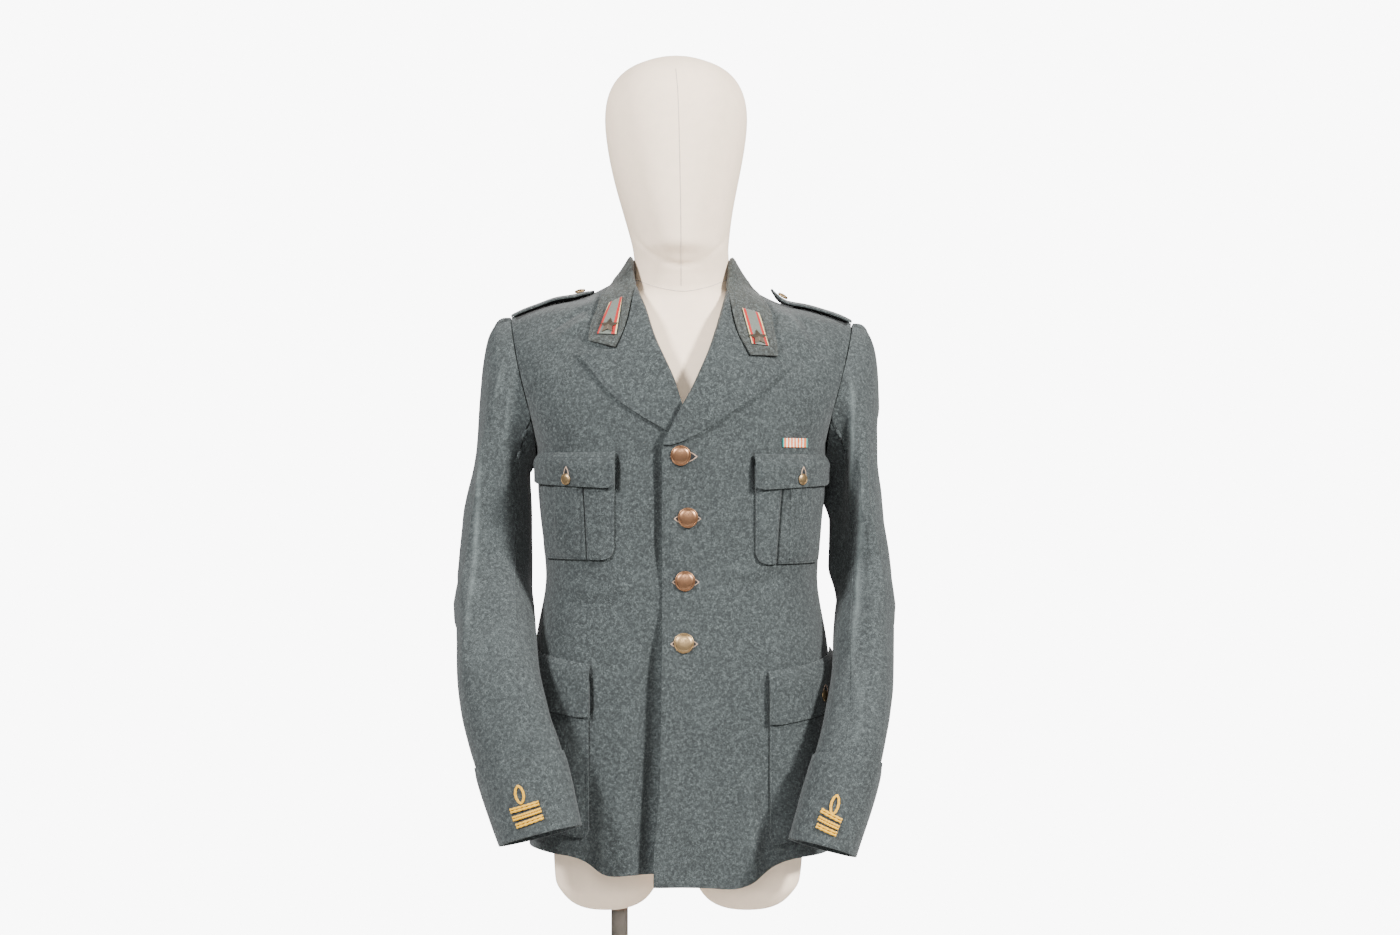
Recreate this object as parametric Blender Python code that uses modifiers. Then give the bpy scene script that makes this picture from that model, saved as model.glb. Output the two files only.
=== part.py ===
"""Military dress tunic on a limbless dress form.

Metres, +Z up, the front faces -Y, so the wearer's left is +X. The origin is the middle of the
stand's base, on its underside. "across" is a distance from the centre line, positive towards the
side that is being made; "around" is the distance along the cloth from the centre line.
"""
import functools
import math

import bmesh
import bpy
import numpy as np
from mathutils import Vector

MM = 0.001
WOOL = 1.9 * MM            # thickness of the cloth
GAP = 0.3 * MM             # room left between neighbours at a seam
LAID = 0.6 * MM            # room under a piece that lies on a panel
RIGHT, LEFT = -1, 1        # the wearer's sides, as signs of X

BREAK_HEIGHT = 0.805       # where the lapels start to roll, level with the top button
HEM_HEIGHT = 0.33
HEM_BLEND = 0.40           # the hem's shape fades out up to here
NECK_POINT = 1.006         # height of the inner end of the shoulder seams
SEAM_TURN = 3.2 * MM      # the fronts' cut edge lies this far behind the rolled edge of a lapel


# ------------------------------------------------------------------ tables and curves

def smooth_table(rows):
    """Reads all columns of a table smoothly between its rows; the first column is the key."""
    data = np.array(rows, float)
    keys, values = data[:, 0], data[:, 1:]
    slopes = np.diff(values, axis=0) / np.diff(keys)[:, None]
    tangents = np.zeros_like(values)
    tangents[0], tangents[-1] = slopes[0], slopes[-1]
    product = slopes[:-1] * slopes[1:]
    total = slopes[:-1] + slopes[1:]
    tangents[1:-1] = np.where(product > 0, 2 * product / np.where(total == 0, 1, total), 0)

    def read(key):
        key = min(max(key, keys[0]), keys[-1])
        i = min(int(np.searchsorted(keys, key, side="right")) - 1, len(keys) - 2)
        span = keys[i + 1] - keys[i]
        t = (key - keys[i]) / span
        return ((1 + 2 * t) * (1 - t) ** 2 * values[i] + t * (1 - t) ** 2 * span * tangents[i]
                + t * t * (3 - 2 * t) * values[i + 1] - t * t * (1 - t) * span * tangents[i + 1])
    return read


def ease(value, low, high):
    """0 below low, 1 above high, smooth between."""
    t = min(max((value - low) / (high - low), 0.0), 1.0)
    return t * t * (3 - 2 * t)


def bump(value, centre, width):
    """A soft ridge, 1 at its centre and nearly 0 two widths away."""
    return math.exp(-((value - centre) / width) ** 2)


def mix(a, b, t):
    return a + (b - a) * t


# height   front y  side x  side y  side z  end angle  squareness
FRONT_ROWS = smooth_table([
    (0.330, -0.151, 0.178, 0.020, 0.338, 90, 3.5),
    (0.400, -0.151, 0.178, 0.020, 0.400, 90, 3.5),
    (0.460, -0.151, 0.1775, 0.020, 0.460, 90, 3.4),
    (0.520, -0.149, 0.176, 0.018, 0.520, 90, 3.2),
    (0.570, -0.146, 0.1725, 0.015, 0.570, 90, 3.1),
    (0.610, -0.142, 0.1655, 0.012, 0.610, 90, 3.0),
    (0.647, -0.139, 0.1600, 0.010, 0.647, 90, 2.9),
    (0.700, -0.1395, 0.1640, 0.008, 0.700, 90, 2.8),
    (0.750, -0.141, 0.1690, 0.006, 0.750, 90, 2.7),
    (0.795, -0.142, 0.1700, 0.005, 0.785, 90, 2.7),
    (0.830, -0.142, 0.1695, -0.045, 0.812, 78, 2.6),
    (0.870, -0.138, 0.1755, -0.063, 0.845, 70, 2.5),
    (0.910, -0.123, 0.1835, -0.060, 0.876, 64, 2.4),
    (0.950, -0.096, 0.1920, -0.046, 0.910, 61, 2.3),
    (0.980, -0.066, 0.1980, -0.026, 0.938, 60, 2.2),
    (0.998, -0.033, 0.2010, -0.008, 0.953, 60, 2.2),
    (NECK_POINT, 0.004, 0.2018, 0.004, 0.958, 60, 2.2),
])

# height   back y side x  side y  side z  end angle  squareness
BACK_ROWS = smooth_table([
    (0.330, 0.128, 0.178, 0.020, 0.338, 90, 2.8),
    (0.400, 0.128, 0.178, 0.020, 0.400, 90, 2.8),
    (0.460, 0.126, 0.1775, 0.020, 0.460, 90, 2.7),
    (0.520, 0.120, 0.176, 0.018, 0.520, 90, 2.6),
    (0.570, 0.112, 0.1725, 0.015, 0.570, 90, 2.5),
    (0.610, 0.104, 0.1655, 0.012, 0.610, 90, 2.4),
    (0.647, 0.099, 0.1600, 0.010, 0.647, 90, 2.4),
    (0.700, 0.103, 0.1640, 0.008, 0.700, 90, 2.4),
    (0.750, 0.112, 0.1690, 0.006, 0.750, 90, 2.4),
    (0.795, 0.120, 0.1700, 0.005, 0.785, 90, 2.5),
    (0.830, 0.125, 0.1710, 0.050, 0.812, 78, 2.5),
    (0.870, 0.127, 0.1790, 0.066, 0.845, 70, 2.4),
    (0.910, 0.124, 0.1870, 0.063, 0.876, 64, 2.3),
    (0.950, 0.112, 0.1940, 0.049, 0.910, 61, 2.3),
    (0.980, 0.088, 0.1985, 0.030, 0.938, 60, 2.2),
    (0.998, 0.052, 0.2010, 0.015, 0.953, 60, 2.2),
    (NECK_POINT, 0.0065, 0.2018, 0.0065, 0.958, 60, 2.2),
])

# height   across, from the centre line to the rolled edge of the lapel
ROLL_LINE = {
    RIGHT: smooth_table([
        (BREAK_HEIGHT, -0.0207), (0.830, -0.0095), (0.8516, -0.0017), (0.878, 0.0062),
        (0.901, 0.0163), (0.929, 0.0289), (0.9625, 0.0400), (0.991, 0.0515), (NECK_POINT, 0.0560),
    ]),
    LEFT: smooth_table([
        (BREAK_HEIGHT, -0.0207), (0.822, -0.0122), (0.852, 0.0028), (0.866, 0.0106),
        (0.886, 0.0196), (0.915, 0.0316), (0.959, 0.0452), (0.980, 0.0505), (NECK_POINT, 0.0560),
    ]),
}

# height   across of the front edge below the lapels
FRONT_EDGE = {
    RIGHT: smooth_table([(0.33, -0.0240), (0.60, -0.0240), (BREAK_HEIGHT, -0.0235)]),
    LEFT: smooth_table([(0.33, -0.0300), (0.36, -0.0293), (0.424, -0.0230), (0.60, -0.0207),
                        (BREAK_HEIGHT, -0.0207)]),
}

# around   height of the hem
HEM = {
    RIGHT: smooth_table([(-0.03, 0.324), (0.060, 0.3245), (0.078, 0.3225), (0.094, 0.331),
                         (0.130, 0.343), (0.170, 0.345), (0.30, 0.338)]),
    LEFT: smooth_table([(-0.04, 0.3125), (0.030, 0.311), (0.070, 0.3095), (0.083, 0.318),
                        (0.108, 0.333), (0.140, 0.341), (0.30, 0.338)]),
}


def drop(side):
    """The wearer's left shoulder hangs a little lower."""
    return -7 * MM if side == LEFT else 0.0


def folds(side, around, height):
    """How far the front's largest folds stand out from its even shape."""
    skirt = 1 - ease(height, 0.34, 0.56)
    out = 4 * MM * skirt * bump(around, 0.072, 0.016)
    out -= 5 * MM * skirt * bump(around, 0.112, 0.026)
    if side == RIGHT:
        out -= 6 * MM * (1 - ease(height, 0.36, 0.64)) * bump(around, 0.030, 0.016)
    across_shoulder = around - mix(0.135, 0.085, (height - 0.955) / 0.045)
    out += 2.5 * MM * ease(height, 0.90, 0.95) * bump(across_shoulder, 0, 0.012)
    out -= 2.5 * MM * ease(height, 0.90, 0.95) * bump(across_shoulder, -0.022, 0.014)
    out += 2 * MM * bump(height, 0.668, 0.016) * bump(around, 0.085, 0.028)
    return out * (1 - ease(height, NECK_POINT - 0.03, NECK_POINT))


def under_lap(side, around, height):
    """How far the wearer's left front stands off what it buttons over."""
    if side == RIGHT:
        return 0.0
    over_front = (WOOL + LAID) * (1 - ease(around, 0.030, 0.065))
    over_lapel = (WOOL + LAID + 2.2 * MM) * ease(height, 0.750, 0.812) \
        * (1 - ease(around, 0.005, 0.075)) * (1 - ease(height, 0.850, 0.920))
    return over_front + over_lapel


SECTION_STEPS = 60


@functools.lru_cache(maxsize=None)
def section(rows, height, inner):
    """The body's outer line in one row, from across = inner to the side: points and lengths."""
    depth, side_x, side_y, side_z, degrees, square = rows(height)
    end = math.radians(degrees)
    power = 2 / square
    lowest = math.copysign(math.asin(min(abs(inner / side_x) ** (1 / power) * math.sin(end), 1)),
                           inner)
    angles = np.linspace(lowest, end, SECTION_STEPS + 1)
    across = np.sign(angles) * side_x * (np.abs(np.sin(angles)) / math.sin(end)) ** power
    last = max(math.cos(end), 0.0) ** power
    reach = (np.maximum(np.cos(angles), 0.0) ** power - last) / (1 - last)
    along = (across - inner) / (side_x - inner)
    points = np.stack([across, mix(side_y, depth, reach), mix(height, side_z, along)], axis=1)
    lengths = np.concatenate([[0], np.cumsum(np.hypot(*np.diff(points[:, :2], axis=0).T))])
    centre = np.interp(0, points[:, 0], lengths) if inner < 0 else -inner
    return points, lengths - centre


def sag(across, height):
    """The shoulders sink a little beside the neck."""
    return 6 * MM * bump(across, 0.115, 0.03) * ease(height, 0.93, NECK_POINT)


def front_inner(side, height):
    """Across of the front's inner edge: its buttoned edge, the roll line, then the neck seam."""
    if height <= BREAK_HEIGHT:
        return float(FRONT_EDGE[side](height)[0])
    turned = float(ROLL_LINE[side](height)[0]) + SEAM_TURN * ease(height, BREAK_HEIGHT, 0.83)
    return turned + 6.3 * MM * ease(height, 0.97, NECK_POINT)


def back_inner(side, height):
    """Across of the back's inner edge: the centre seam, then the neck curve."""
    return GAP + 0.0635 * ease(height, 0.978, 1.001) ** 0.5


def front_point(side, around, height):
    """A point of a front's outer face, in the row of that height."""
    points, lengths = section(FRONT_ROWS, height, front_inner(side, height))
    x, y, z = (float(np.interp(around, lengths, points[:, k])) for k in range(3))
    z -= sag(x, height)
    if height < HEM_BLEND:
        share = (height - HEM_HEIGHT) / (HEM_BLEND - HEM_HEIGHT)
        z = mix(float(HEM[side](around)[0]), HEM_BLEND, share)
    here = int(np.clip(np.searchsorted(lengths, around), 1, len(lengths) - 1))
    run = points[here] - points[here - 1]
    out = np.array((-run[1], run[0])) / (np.hypot(run[0], run[1]) + 1e-12)
    if out[1] > 0:
        out = -out
    stand = folds(side, around, height) + under_lap(side, around, height)
    x += abs(out[0]) * stand
    y += out[1] * stand
    return Vector((side * x, y, z + drop(side) * ease(height, 0.90, NECK_POINT)))


def back_point(side, around, height):
    """A point of a back's outer face."""
    points, lengths = section(BACK_ROWS, height, back_inner(side, height))
    lengths = lengths - lengths[0]
    x, y, z = (float(np.interp(around, lengths, points[:, k])) for k in range(3))
    z -= sag(x, height)
    return Vector((side * x, y, z + drop(side) * ease(height, 0.90, NECK_POINT)))


def row_length(rows, height, inner):
    lengths = section(rows, height, inner)[1]
    return lengths[0], lengths[-1]


def outward(place, a, b, step=2 * MM):
    """The surface's outer normal at (a, b); every surface here turns its outside away from the form."""
    along_a = place(a + step, b) - place(a - step, b)
    along_b = place(a, b + step) - place(a, b - step)
    normal = along_a.cross(along_b).normalized()
    here = place(a, b)
    away = Vector((here.x, here.y, max(here.z - 0.93, 0.0)))
    return normal if normal.dot(away) > 0 else -normal


def on_front(side, around, height, off):
    """A point that stands off a front's outer face; below the underarm, height is a true height."""
    def place(a, h):
        return front_point(side, a, h)
    return place(around, height) + outward(place, around, height) * off


def front_at(side, across, z, off):
    """The point off a front's face that shows at this across and height from straight ahead."""
    low, high = HEM_HEIGHT, NECK_POINT
    for _ in range(18):
        row = (low + high) / 2
        points, lengths = section(FRONT_ROWS, row, front_inner(side, row))
        here = float(np.interp(across, points[:, 0], points[:, 2])) - sag(across, row)
        here += drop(side) * ease(row, 0.90, NECK_POINT)
        low, high = (row, high) if here < z else (low, row)
    around = float(np.interp(across, points[:, 0], lengths))
    spot = on_front(side, around, row, off)
    spot.x += side * min(across - points[0, 0], 0.0)
    return spot


# ------------------------------------------------------------------ materials and builders

def material(name, colour, roughness, metallic=0.0):
    made = bpy.data.materials.new(name)
    made.use_nodes = True
    shader = made.node_tree.nodes["Principled BSDF"]
    shader.inputs["Base Color"].default_value = (*colour, 1.0)
    shader.inputs["Roughness"].default_value = roughness
    shader.inputs["Metallic"].default_value = metallic
    return made


def finish_mesh(name, bm, slot, smooth=True):
    mesh = bpy.data.meshes.new(name)
    bm.to_mesh(mesh)
    bm.free()
    made = bpy.data.objects.new(name, mesh)
    made.data.materials.append(slot)
    TUNIC.objects.link(made)
    if smooth:
        mesh.shade_smooth()
        mesh.set_sharp_from_angle(angle=math.radians(40))
    return made


def cloth(name, columns, rows, place, slot, thickness=WOOL, us=None, vs=None):
    """A cloth piece: a grid laid out by place(u, v) with its outside away from the wearer, then
    thickened inwards. us and vs place the grid's lines unevenly."""
    bm = bmesh.new()
    bmesh.ops.create_grid(bm, x_segments=columns, y_segments=rows, size=0.5)
    for vert in bm.verts:
        u, v = vert.co.x + 0.5, vert.co.y + 0.5
        if us:
            u = us[round(u * columns)]
        if vs:
            v = vs[round(v * rows)]
        vert.co = place(u, v)
    made = finish_mesh(name, bm, slot)
    wall = made.modifiers.new("Wall", "SOLIDIFY")
    wall.thickness = thickness
    wall.offset = -1
    wall.use_even_offset = True
    return made


def mirrored(side, u):
    """Grids run the other way on the wearer's right, so that every outside faces out."""
    return u if side == LEFT else 1 - u


# ------------------------------------------------------------------ body panels

FRONT_COLUMNS, BACK_COLUMNS = 15, 10


def levels(*stretches):
    """The rows of a body panel: (steps, height) for each stretch above the hem, as shares."""
    heights = [HEM_HEIGHT]
    for steps, top in stretches:
        heights += list(np.linspace(heights[-1], top, steps + 1)[1:])
    return [(height - HEM_HEIGHT) / (NECK_POINT - HEM_HEIGHT) for height in heights]


FRONT_LEVELS = levels((14, 0.78), (11, 0.985), (2, NECK_POINT))
BACK_LEVELS = levels((15, 0.973), (4, NECK_POINT))


def front_panel(side, name):
    def place(u, v):
        height = mix(HEM_HEIGHT, NECK_POINT, v)
        low, high = row_length(FRONT_ROWS, height, front_inner(side, height))
        return front_point(side, mix(low, high - SIDE_GAP, mirrored(side, u)), height)
    return cloth(name, FRONT_COLUMNS, len(FRONT_LEVELS) - 1, place, WOOL_SLOT, vs=FRONT_LEVELS)


def back_panel(side, name):
    def place(u, v):
        height = mix(HEM_HEIGHT, NECK_POINT, v)
        low, high = row_length(BACK_ROWS, height, back_inner(side, height))
        spot = back_point(side, mix(0, high - low - SIDE_GAP, 1 - mirrored(side, u)), height)
        spot.y += GAP * ease(height, 0.97, NECK_POINT)
        return spot
    return cloth(name, BACK_COLUMNS, len(BACK_LEVELS) - 1, place, WOOL_SLOT, vs=BACK_LEVELS)


SIDE_GAP = 0.35 * MM       # half the room at the side seams, so that the inner faces stay apart too


# ------------------------------------------------------------------ sleeves

# at     x out   y       z      half x  half y  turn
SLEEVE = {
    RIGHT: smooth_table([
        (0.00, 0.2136, 0.003, 0.7700, 0.0341, 0.066, 0),
        (0.12, 0.2174, 0.002, 0.7296, 0.0397, 0.063, 0),
        (0.30, 0.2190, -0.012, 0.6657, 0.0432, 0.058, 4),
        (0.43, 0.2182, -0.050, 0.6171, 0.0447, 0.052, 10),
        (0.53, 0.2105, -0.094, 0.5800, 0.0475, 0.044, 16),
        (0.63, 0.2045, -0.128, 0.5420, 0.0500, 0.036, 22),
        (0.72, 0.1975, -0.146, 0.5100, 0.0525, 0.032, 24),
        (0.82, 0.1830, -0.158, 0.4670, 0.0545, 0.031, 26),
        (0.91, 0.1700, -0.169, 0.4251, 0.0525, 0.032, 26),
        (1.00, 0.1540, -0.182, 0.3745, 0.0475, 0.033, 26),
    ]),
    LEFT: smooth_table([
        (0.00, 0.2095, 0.003, 0.7700, 0.0250, 0.068, 0),
        (0.12, 0.2128, 0.002, 0.7296, 0.0252, 0.068, 0),
        (0.30, 0.2159, -0.006, 0.6657, 0.0292, 0.064, 4),
        (0.43, 0.2156, -0.034, 0.6171, 0.0325, 0.058, 8),
        (0.53, 0.2110, -0.068, 0.5800, 0.0350, 0.050, 12),
        (0.63, 0.2070, -0.100, 0.5420, 0.0350, 0.044, 18),
        (0.72, 0.2005, -0.125, 0.5100, 0.0360, 0.042, 24),
        (0.82, 0.1895, -0.149, 0.4670, 0.0360, 0.040, 28),
        (0.91, 0.1755, -0.165, 0.4196, 0.0365, 0.040, 32),
        (1.00, 0.1565, -0.180, 0.3610, 0.0345, 0.039, 32),
    ]),
}
CAP_SHARE = 0.30           # the sleeve head takes this share of the panel's rows
CUFF_LIFT = {RIGHT: 0.32, LEFT: 0.36}   # rise of the cuff's edge towards the body, per metre
CUFF_START = 0.845         # where the turned-up cuff's upper edge lies, along the sleeve


def armhole(side, turn):
    """The armhole's seam line; turn is 0 under the arm, 0.25 in front, 0.5 on the shoulder."""
    turn %= 1.0
    forward = turn <= 0.5
    rise = 2 * turn if forward else 2 * (1 - turn)
    height = mix(0.795, NECK_POINT, rise ** 0.9)
    row = (FRONT_ROWS if forward else BACK_ROWS)(height)
    return Vector((side * row[1], row[2], row[3] + drop(side) * ease(height, 0.90, NECK_POINT)))


def sleeve_fold(side, at, turn):
    """The long ridges of an empty sleeve and the soft breaks at the elbow."""
    long_ridge, width = ((0.345, 0.035) if side == RIGHT else (0.27, 0.045))
    out = 4.5 * MM * bump(turn, long_ridge, width) * ease(at, -0.6, 0.0) * (1 - ease(at, 0.5, 0.8))
    out -= 3 * MM * bump(turn, long_ridge - 0.10, 0.05) * ease(at, -0.2, 0.1) * (1 - ease(at, 0.5, 0.8))
    for where, size in ((0.44, 3.0), (0.56, 2.5), (0.68, 1.5)):
        out += size * MM * bump(at, where, 0.035) * bump((turn + 0.5) % 1.0, 0.5, 0.22)
    return out


def sleeve_ring(side, at, turn, off=0.0):
    """A point of the sleeve's outer face below its head; turn as on the armhole."""
    x, y, z, half_x, half_y, degrees = SLEEVE[side](at)
    ahead, behind = SLEEVE[side](at + 0.02), SLEEVE[side](at - 0.02)
    axis = Vector((ahead[0] - behind[0], ahead[1] - behind[1], ahead[2] - behind[2])).normalized()
    spin = math.radians(degrees)
    inward = Vector((-math.cos(spin), -math.sin(spin), CUFF_LIFT[side] * ease(at, 0.5, 1.0)))
    level = 1 - ease(at, 0.0, 0.25)
    axis = mix(axis, Vector((0, 0, -1)), level).normalized()
    if at < 0.5:
        inward = (inward - axis * inward.dot(axis)).normalized()
    inward.normalize()
    front = axis.cross(inward).normalized()
    if front.y > 0:
        front = -front
    angle = 2 * math.pi * turn
    grow = sleeve_fold(side, at, turn) + off
    spot = Vector((x, y, z))
    spot += inward * (half_x + grow) * math.cos(angle) + front * (half_y + grow) * math.sin(angle)
    return Vector((side * spot.x, spot.y, spot.z))


def sleeve_point(side, share, turn, off=0.0):
    """A point of the sleeve, from the armhole at share 0 to the cuff's edge at share 1."""
    if share >= CAP_SHARE:
        return sleeve_ring(side, (share - CAP_SHARE) / (1 - CAP_SHARE), turn, off)
    t = share / CAP_SHARE
    start, end = armhole(side, turn), sleeve_ring(side, 0.0, turn, off)
    start.x += side * 1.0 * MM
    height = 0.5 - 0.5 * math.cos(2 * math.pi * turn)
    span = (end - start).length
    out = Vector((side, 0.0, 0.10)) * span * 0.72 * height ** 0.7
    leave = out + (end - start) * (1 - height) * 0.8
    arrive = (sleeve_ring(side, 0.03, turn) - sleeve_ring(side, 0.0, turn)).normalized() * span * 0.85
    return ((1 + 2 * t) * (1 - t) ** 2 * start + t * (1 - t) ** 2 * leave
            + t * t * (3 - 2 * t) * end - t * t * (1 - t) * arrive)


FOREARM_SEAM, HINDARM_SEAM = 0.13, 0.87


SLEEVE_SEAM = 0.0021       # half the room at a sleeve's seams, as a share of the way round
UPPER_COLUMNS, UNDER_COLUMNS, SLEEVE_STEPS = 14, 4, 18
CUFF_OFF = WOOL + 1.1 * MM


def sleeve_panel(side, name, start, end, columns):
    def place(u, v):
        room = SLEEVE_SEAM * (1 + 1.2 * ease(v, 0.7, 0.85))
        return sleeve_point(side, 1 - v, mix(start + room, end - room, mirrored(side, u)))
    return cloth(name, columns, SLEEVE_STEPS, place, WOOL_SLOT)


def cuff(side, name):
    turns = [mix(HINDARM_SEAM - 1 + SLEEVE_SEAM, FOREARM_SEAM, i / UNDER_COLUMNS)
             for i in range(UNDER_COLUMNS)]
    turns += [mix(FOREARM_SEAM, HINDARM_SEAM - SLEEVE_SEAM, i / UPPER_COLUMNS)
              for i in range(UPPER_COLUMNS + 1)]
    columns = len(turns) - 1

    def place(u, v):
        turn = turns[round(mirrored(side, u) * columns)]
        return sleeve_ring(side, mix(1.0, CUFF_START, v), turn, CUFF_OFF)
    return cloth(name, columns, 3, place, WOOL_SLOT)


# ------------------------------------------------------------------ lapels and collar

# share  across  height: the lapel's lower edge, from its bottom to the peak
LAPEL_OUTER = {
    RIGHT: smooth_table([(0, 0.0100, 0.8180), (0.12, 0.0240, 0.8262), (0.30, 0.0430, 0.8372),
                         (0.58, 0.0700, 0.8560), (0.80, 0.0930, 0.8800), (1, 0.1162, 0.9087)]),
    LEFT: smooth_table([(0, -0.0111, 0.8052), (0.12, 0.0030, 0.8095), (0.30, 0.0270, 0.8230),
                        (0.55, 0.0600, 0.8445), (0.78, 0.0890, 0.8640), (1, 0.1202, 0.8940)]),
}
# share  across  height: its upper edge, from the roll line down the gorge seam and out to the peak
LAPEL_TOP = {
    RIGHT: smooth_table([(0, 0.0510, 0.9900), (0.25, 0.0565, 0.9640), (0.50, 0.0625, 0.9368),
                         (0.70, 0.0723, 0.9132), (1, 0.1162, 0.9087)]),
    LEFT: smooth_table([(0, 0.0520, 0.9850), (0.25, 0.0562, 0.9600), (0.50, 0.0630, 0.9300),
                        (0.70, 0.0763, 0.9040), (1, 0.1202, 0.8940)]),
}
LAPEL_BOTTOM = {RIGHT: (-0.0005, 0.8480), LEFT: (-0.0205, 0.8060)}
LAPEL_TOP_HEIGHT = {RIGHT: 0.9900, LEFT: 0.9850}
# the lapel's columns: distance from the roll line (mm), share of the rest, height off the front (mm)
LAPEL_COLUMNS = ((0, 0, -0.6), (0.7, 0, 1.9), (2.6, 0, 3.8), (7.5, 0, 4.6), (7.5, 0.18, 4.2),
                 (7.5, 0.42, 3.6), (7.5, 0.68, 3.2), (7.5, 0.90, 3.0), (7.5, 1, 3.0))


def lapel_spot(side, u, v):
    """Across and height of a lapel's point: u from the roll line outwards, v upwards."""
    top_height = LAPEL_TOP_HEIGHT[side]
    low_across, low_height = LAPEL_BOTTOM[side]

    def roll(share):
        height = mix(low_height, top_height, share)
        return np.array((float(ROLL_LINE[side](height)[0]), height))
    outer, top = LAPEL_OUTER[side], LAPEL_TOP[side]
    bottom = mix(roll(0), outer(0), u)
    corners = mix(mix(roll(0), outer(0), u), mix(roll(1), outer(1), u), v)
    return mix(roll(v), outer(v), u) + mix(bottom, top(u), v) - corners


def lapel(side, name):
    columns = len(LAPEL_COLUMNS) - 1

    def place(u, v):
        reach, share, off = LAPEL_COLUMNS[round(mirrored(side, u) * columns)]
        width = float(np.hypot(*(lapel_spot(side, 1, v) - lapel_spot(side, 0, v))))
        narrow = min(1.0, width / 24 / MM)
        at = mix(reach * MM * narrow / width, 1, share)
        across, height = lapel_spot(side, mix(mirrored(side, u), at, ease(v, -0.05, 0.16)), v)
        return front_at(side, across, height, mix(3.0, off, narrow * ease(v, 0.0, 0.25)) * MM)
    return cloth(name, columns, 12, place, WOOL_SLOT)


# share: inner across, y, height; outer across, y, height; stand; lies on the front
COLLAR = {
    RIGHT: smooth_table([
        (0.00, 0.0742, -0.11, 0.9155, 0.1048, -0.09, 0.9238, 0.0, 1),
        (0.12, 0.0643, -0.10, 0.9375, 0.1035, -0.08, 0.9418, 0.0, 1),
        (0.26, 0.0583, -0.09, 0.9645, 0.0965, -0.06, 0.9646, 0.0, 1),
        (0.38, 0.0545, -0.072, 0.9870, 0.0905, -0.04, 0.9850, 0.12, 1),
        (0.50, 0.0585, -0.036, 1.0000, 0.0850, -0.020, 0.9985, 0.65, 0.25),
        (0.62, 0.0600, 0.000, 1.0040, 0.0830, 0.003, 1.0030, 1.0, 0),
        (0.74, 0.0535, 0.034, 1.0035, 0.0800, 0.049, 0.9940, 1.0, 0),
        (0.87, 0.0300, 0.058, 1.0030, 0.0480, 0.087, 0.9830, 1.0, 0),
        (1.00, 0.0000, 0.065, 1.0030, 0.0000, 0.100, 0.9770, 1.0, 0),
    ]),
    LEFT: smooth_table([
        (0.00, 0.0788, -0.11, 0.9060, 0.1094, -0.09, 0.9054, 0.0, 1),
        (0.12, 0.0652, -0.10, 0.9315, 0.1080, -0.08, 0.9260, 0.0, 1),
        (0.26, 0.0581, -0.09, 0.9600, 0.1045, -0.06, 0.9540, 0.0, 1),
        (0.38, 0.0550, -0.072, 0.9820, 0.0975, -0.04, 0.9740, 0.12, 1),
        (0.50, 0.0585, -0.036, 0.9985, 0.0890, -0.020, 0.9930, 0.65, 0.25),
        (0.62, 0.0600, 0.000, 1.0040, 0.0840, 0.003, 0.9995, 1.0, 0),
        (0.74, 0.0535, 0.034, 1.0035, 0.0805, 0.049, 0.9910, 1.0, 0),
        (0.87, 0.0300, 0.058, 1.0030, 0.0480, 0.087, 0.9820, 1.0, 0),
        (1.00, 0.0000, 0.065, 1.0030, 0.0000, 0.100, 0.9770, 1.0, 0),
    ]),
}
COLLAR_STAND = 27 * MM
# share across from neck seam to outer edge where it stands, and where it lies; share of the stand
COLLAR_SECTION = [(0.0, 0.0, 0.0), (0.0, 0.10, 0.55), (0.035, 0.20, 0.93), (0.16, 0.32, 1.0),
                  (0.30, 0.48, 0.87), (0.62, 0.74, 0.42), (1.0, 1.0, 0.0)]
COLLAR_OFF = (3.3, 3.4, 3.5, 3.6, 3.6, 3.4, 3.2)                   # mm, where it lies on the front


def collar_point(side, share, column):
    row = COLLAR[side](share)
    stand, lies = row[6], row[7]
    standing, lying, rise = COLLAR_SECTION[column]
    t = mix(lying, standing, min(stand * 1.3, 1.0))
    inner, outer = Vector(row[0:3]), Vector(row[3:6])
    spot = mix(inner, outer, t)
    spot.z += drop(side) * ease(0.75 - share, 0.0, 0.3) * 0.3 * (1 - lies)
    spot.x *= side
    if lies > 0.01:
        laid = front_at(side, side * spot.x, spot.z, COLLAR_OFF[column] * MM)
        spot = mix(spot, laid, lies)
    spot.z += COLLAR_STAND * stand * rise
    return spot


def collar(name):
    def place(u, v):
        side = LEFT if u > 0.5 else RIGHT
        share = 1 - abs(2 * u - 1)
        return collar_point(side, share, round(v * 6))
    return cloth(name, 36, 6, place, WOOL_SLOT)


# ------------------------------------------------------------------ shoulder straps

STRAP_WIDTH = 46 * MM
# share along  across  height: the strap's middle line, from the armhole to the tip
STRAP = {
    RIGHT: smooth_table([(0, 0.2005, 0.9620), (0.15, 0.1900, 0.9672), (0.35, 0.1690, 0.9752),
                         (0.55, 0.1475, 0.9828), (0.75, 0.1290, 0.9858), (1, 0.1043, 0.9905)]),
    LEFT: smooth_table([(0, 0.2010, 0.9555), (0.15, 0.1900, 0.9610), (0.35, 0.1700, 0.9680),
                        (0.55, 0.1500, 0.9737), (0.78, 0.1250, 0.9790), (0.9, 0.1140, 0.9860),
                        (1, 0.1076, 0.9930)]),
}


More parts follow.
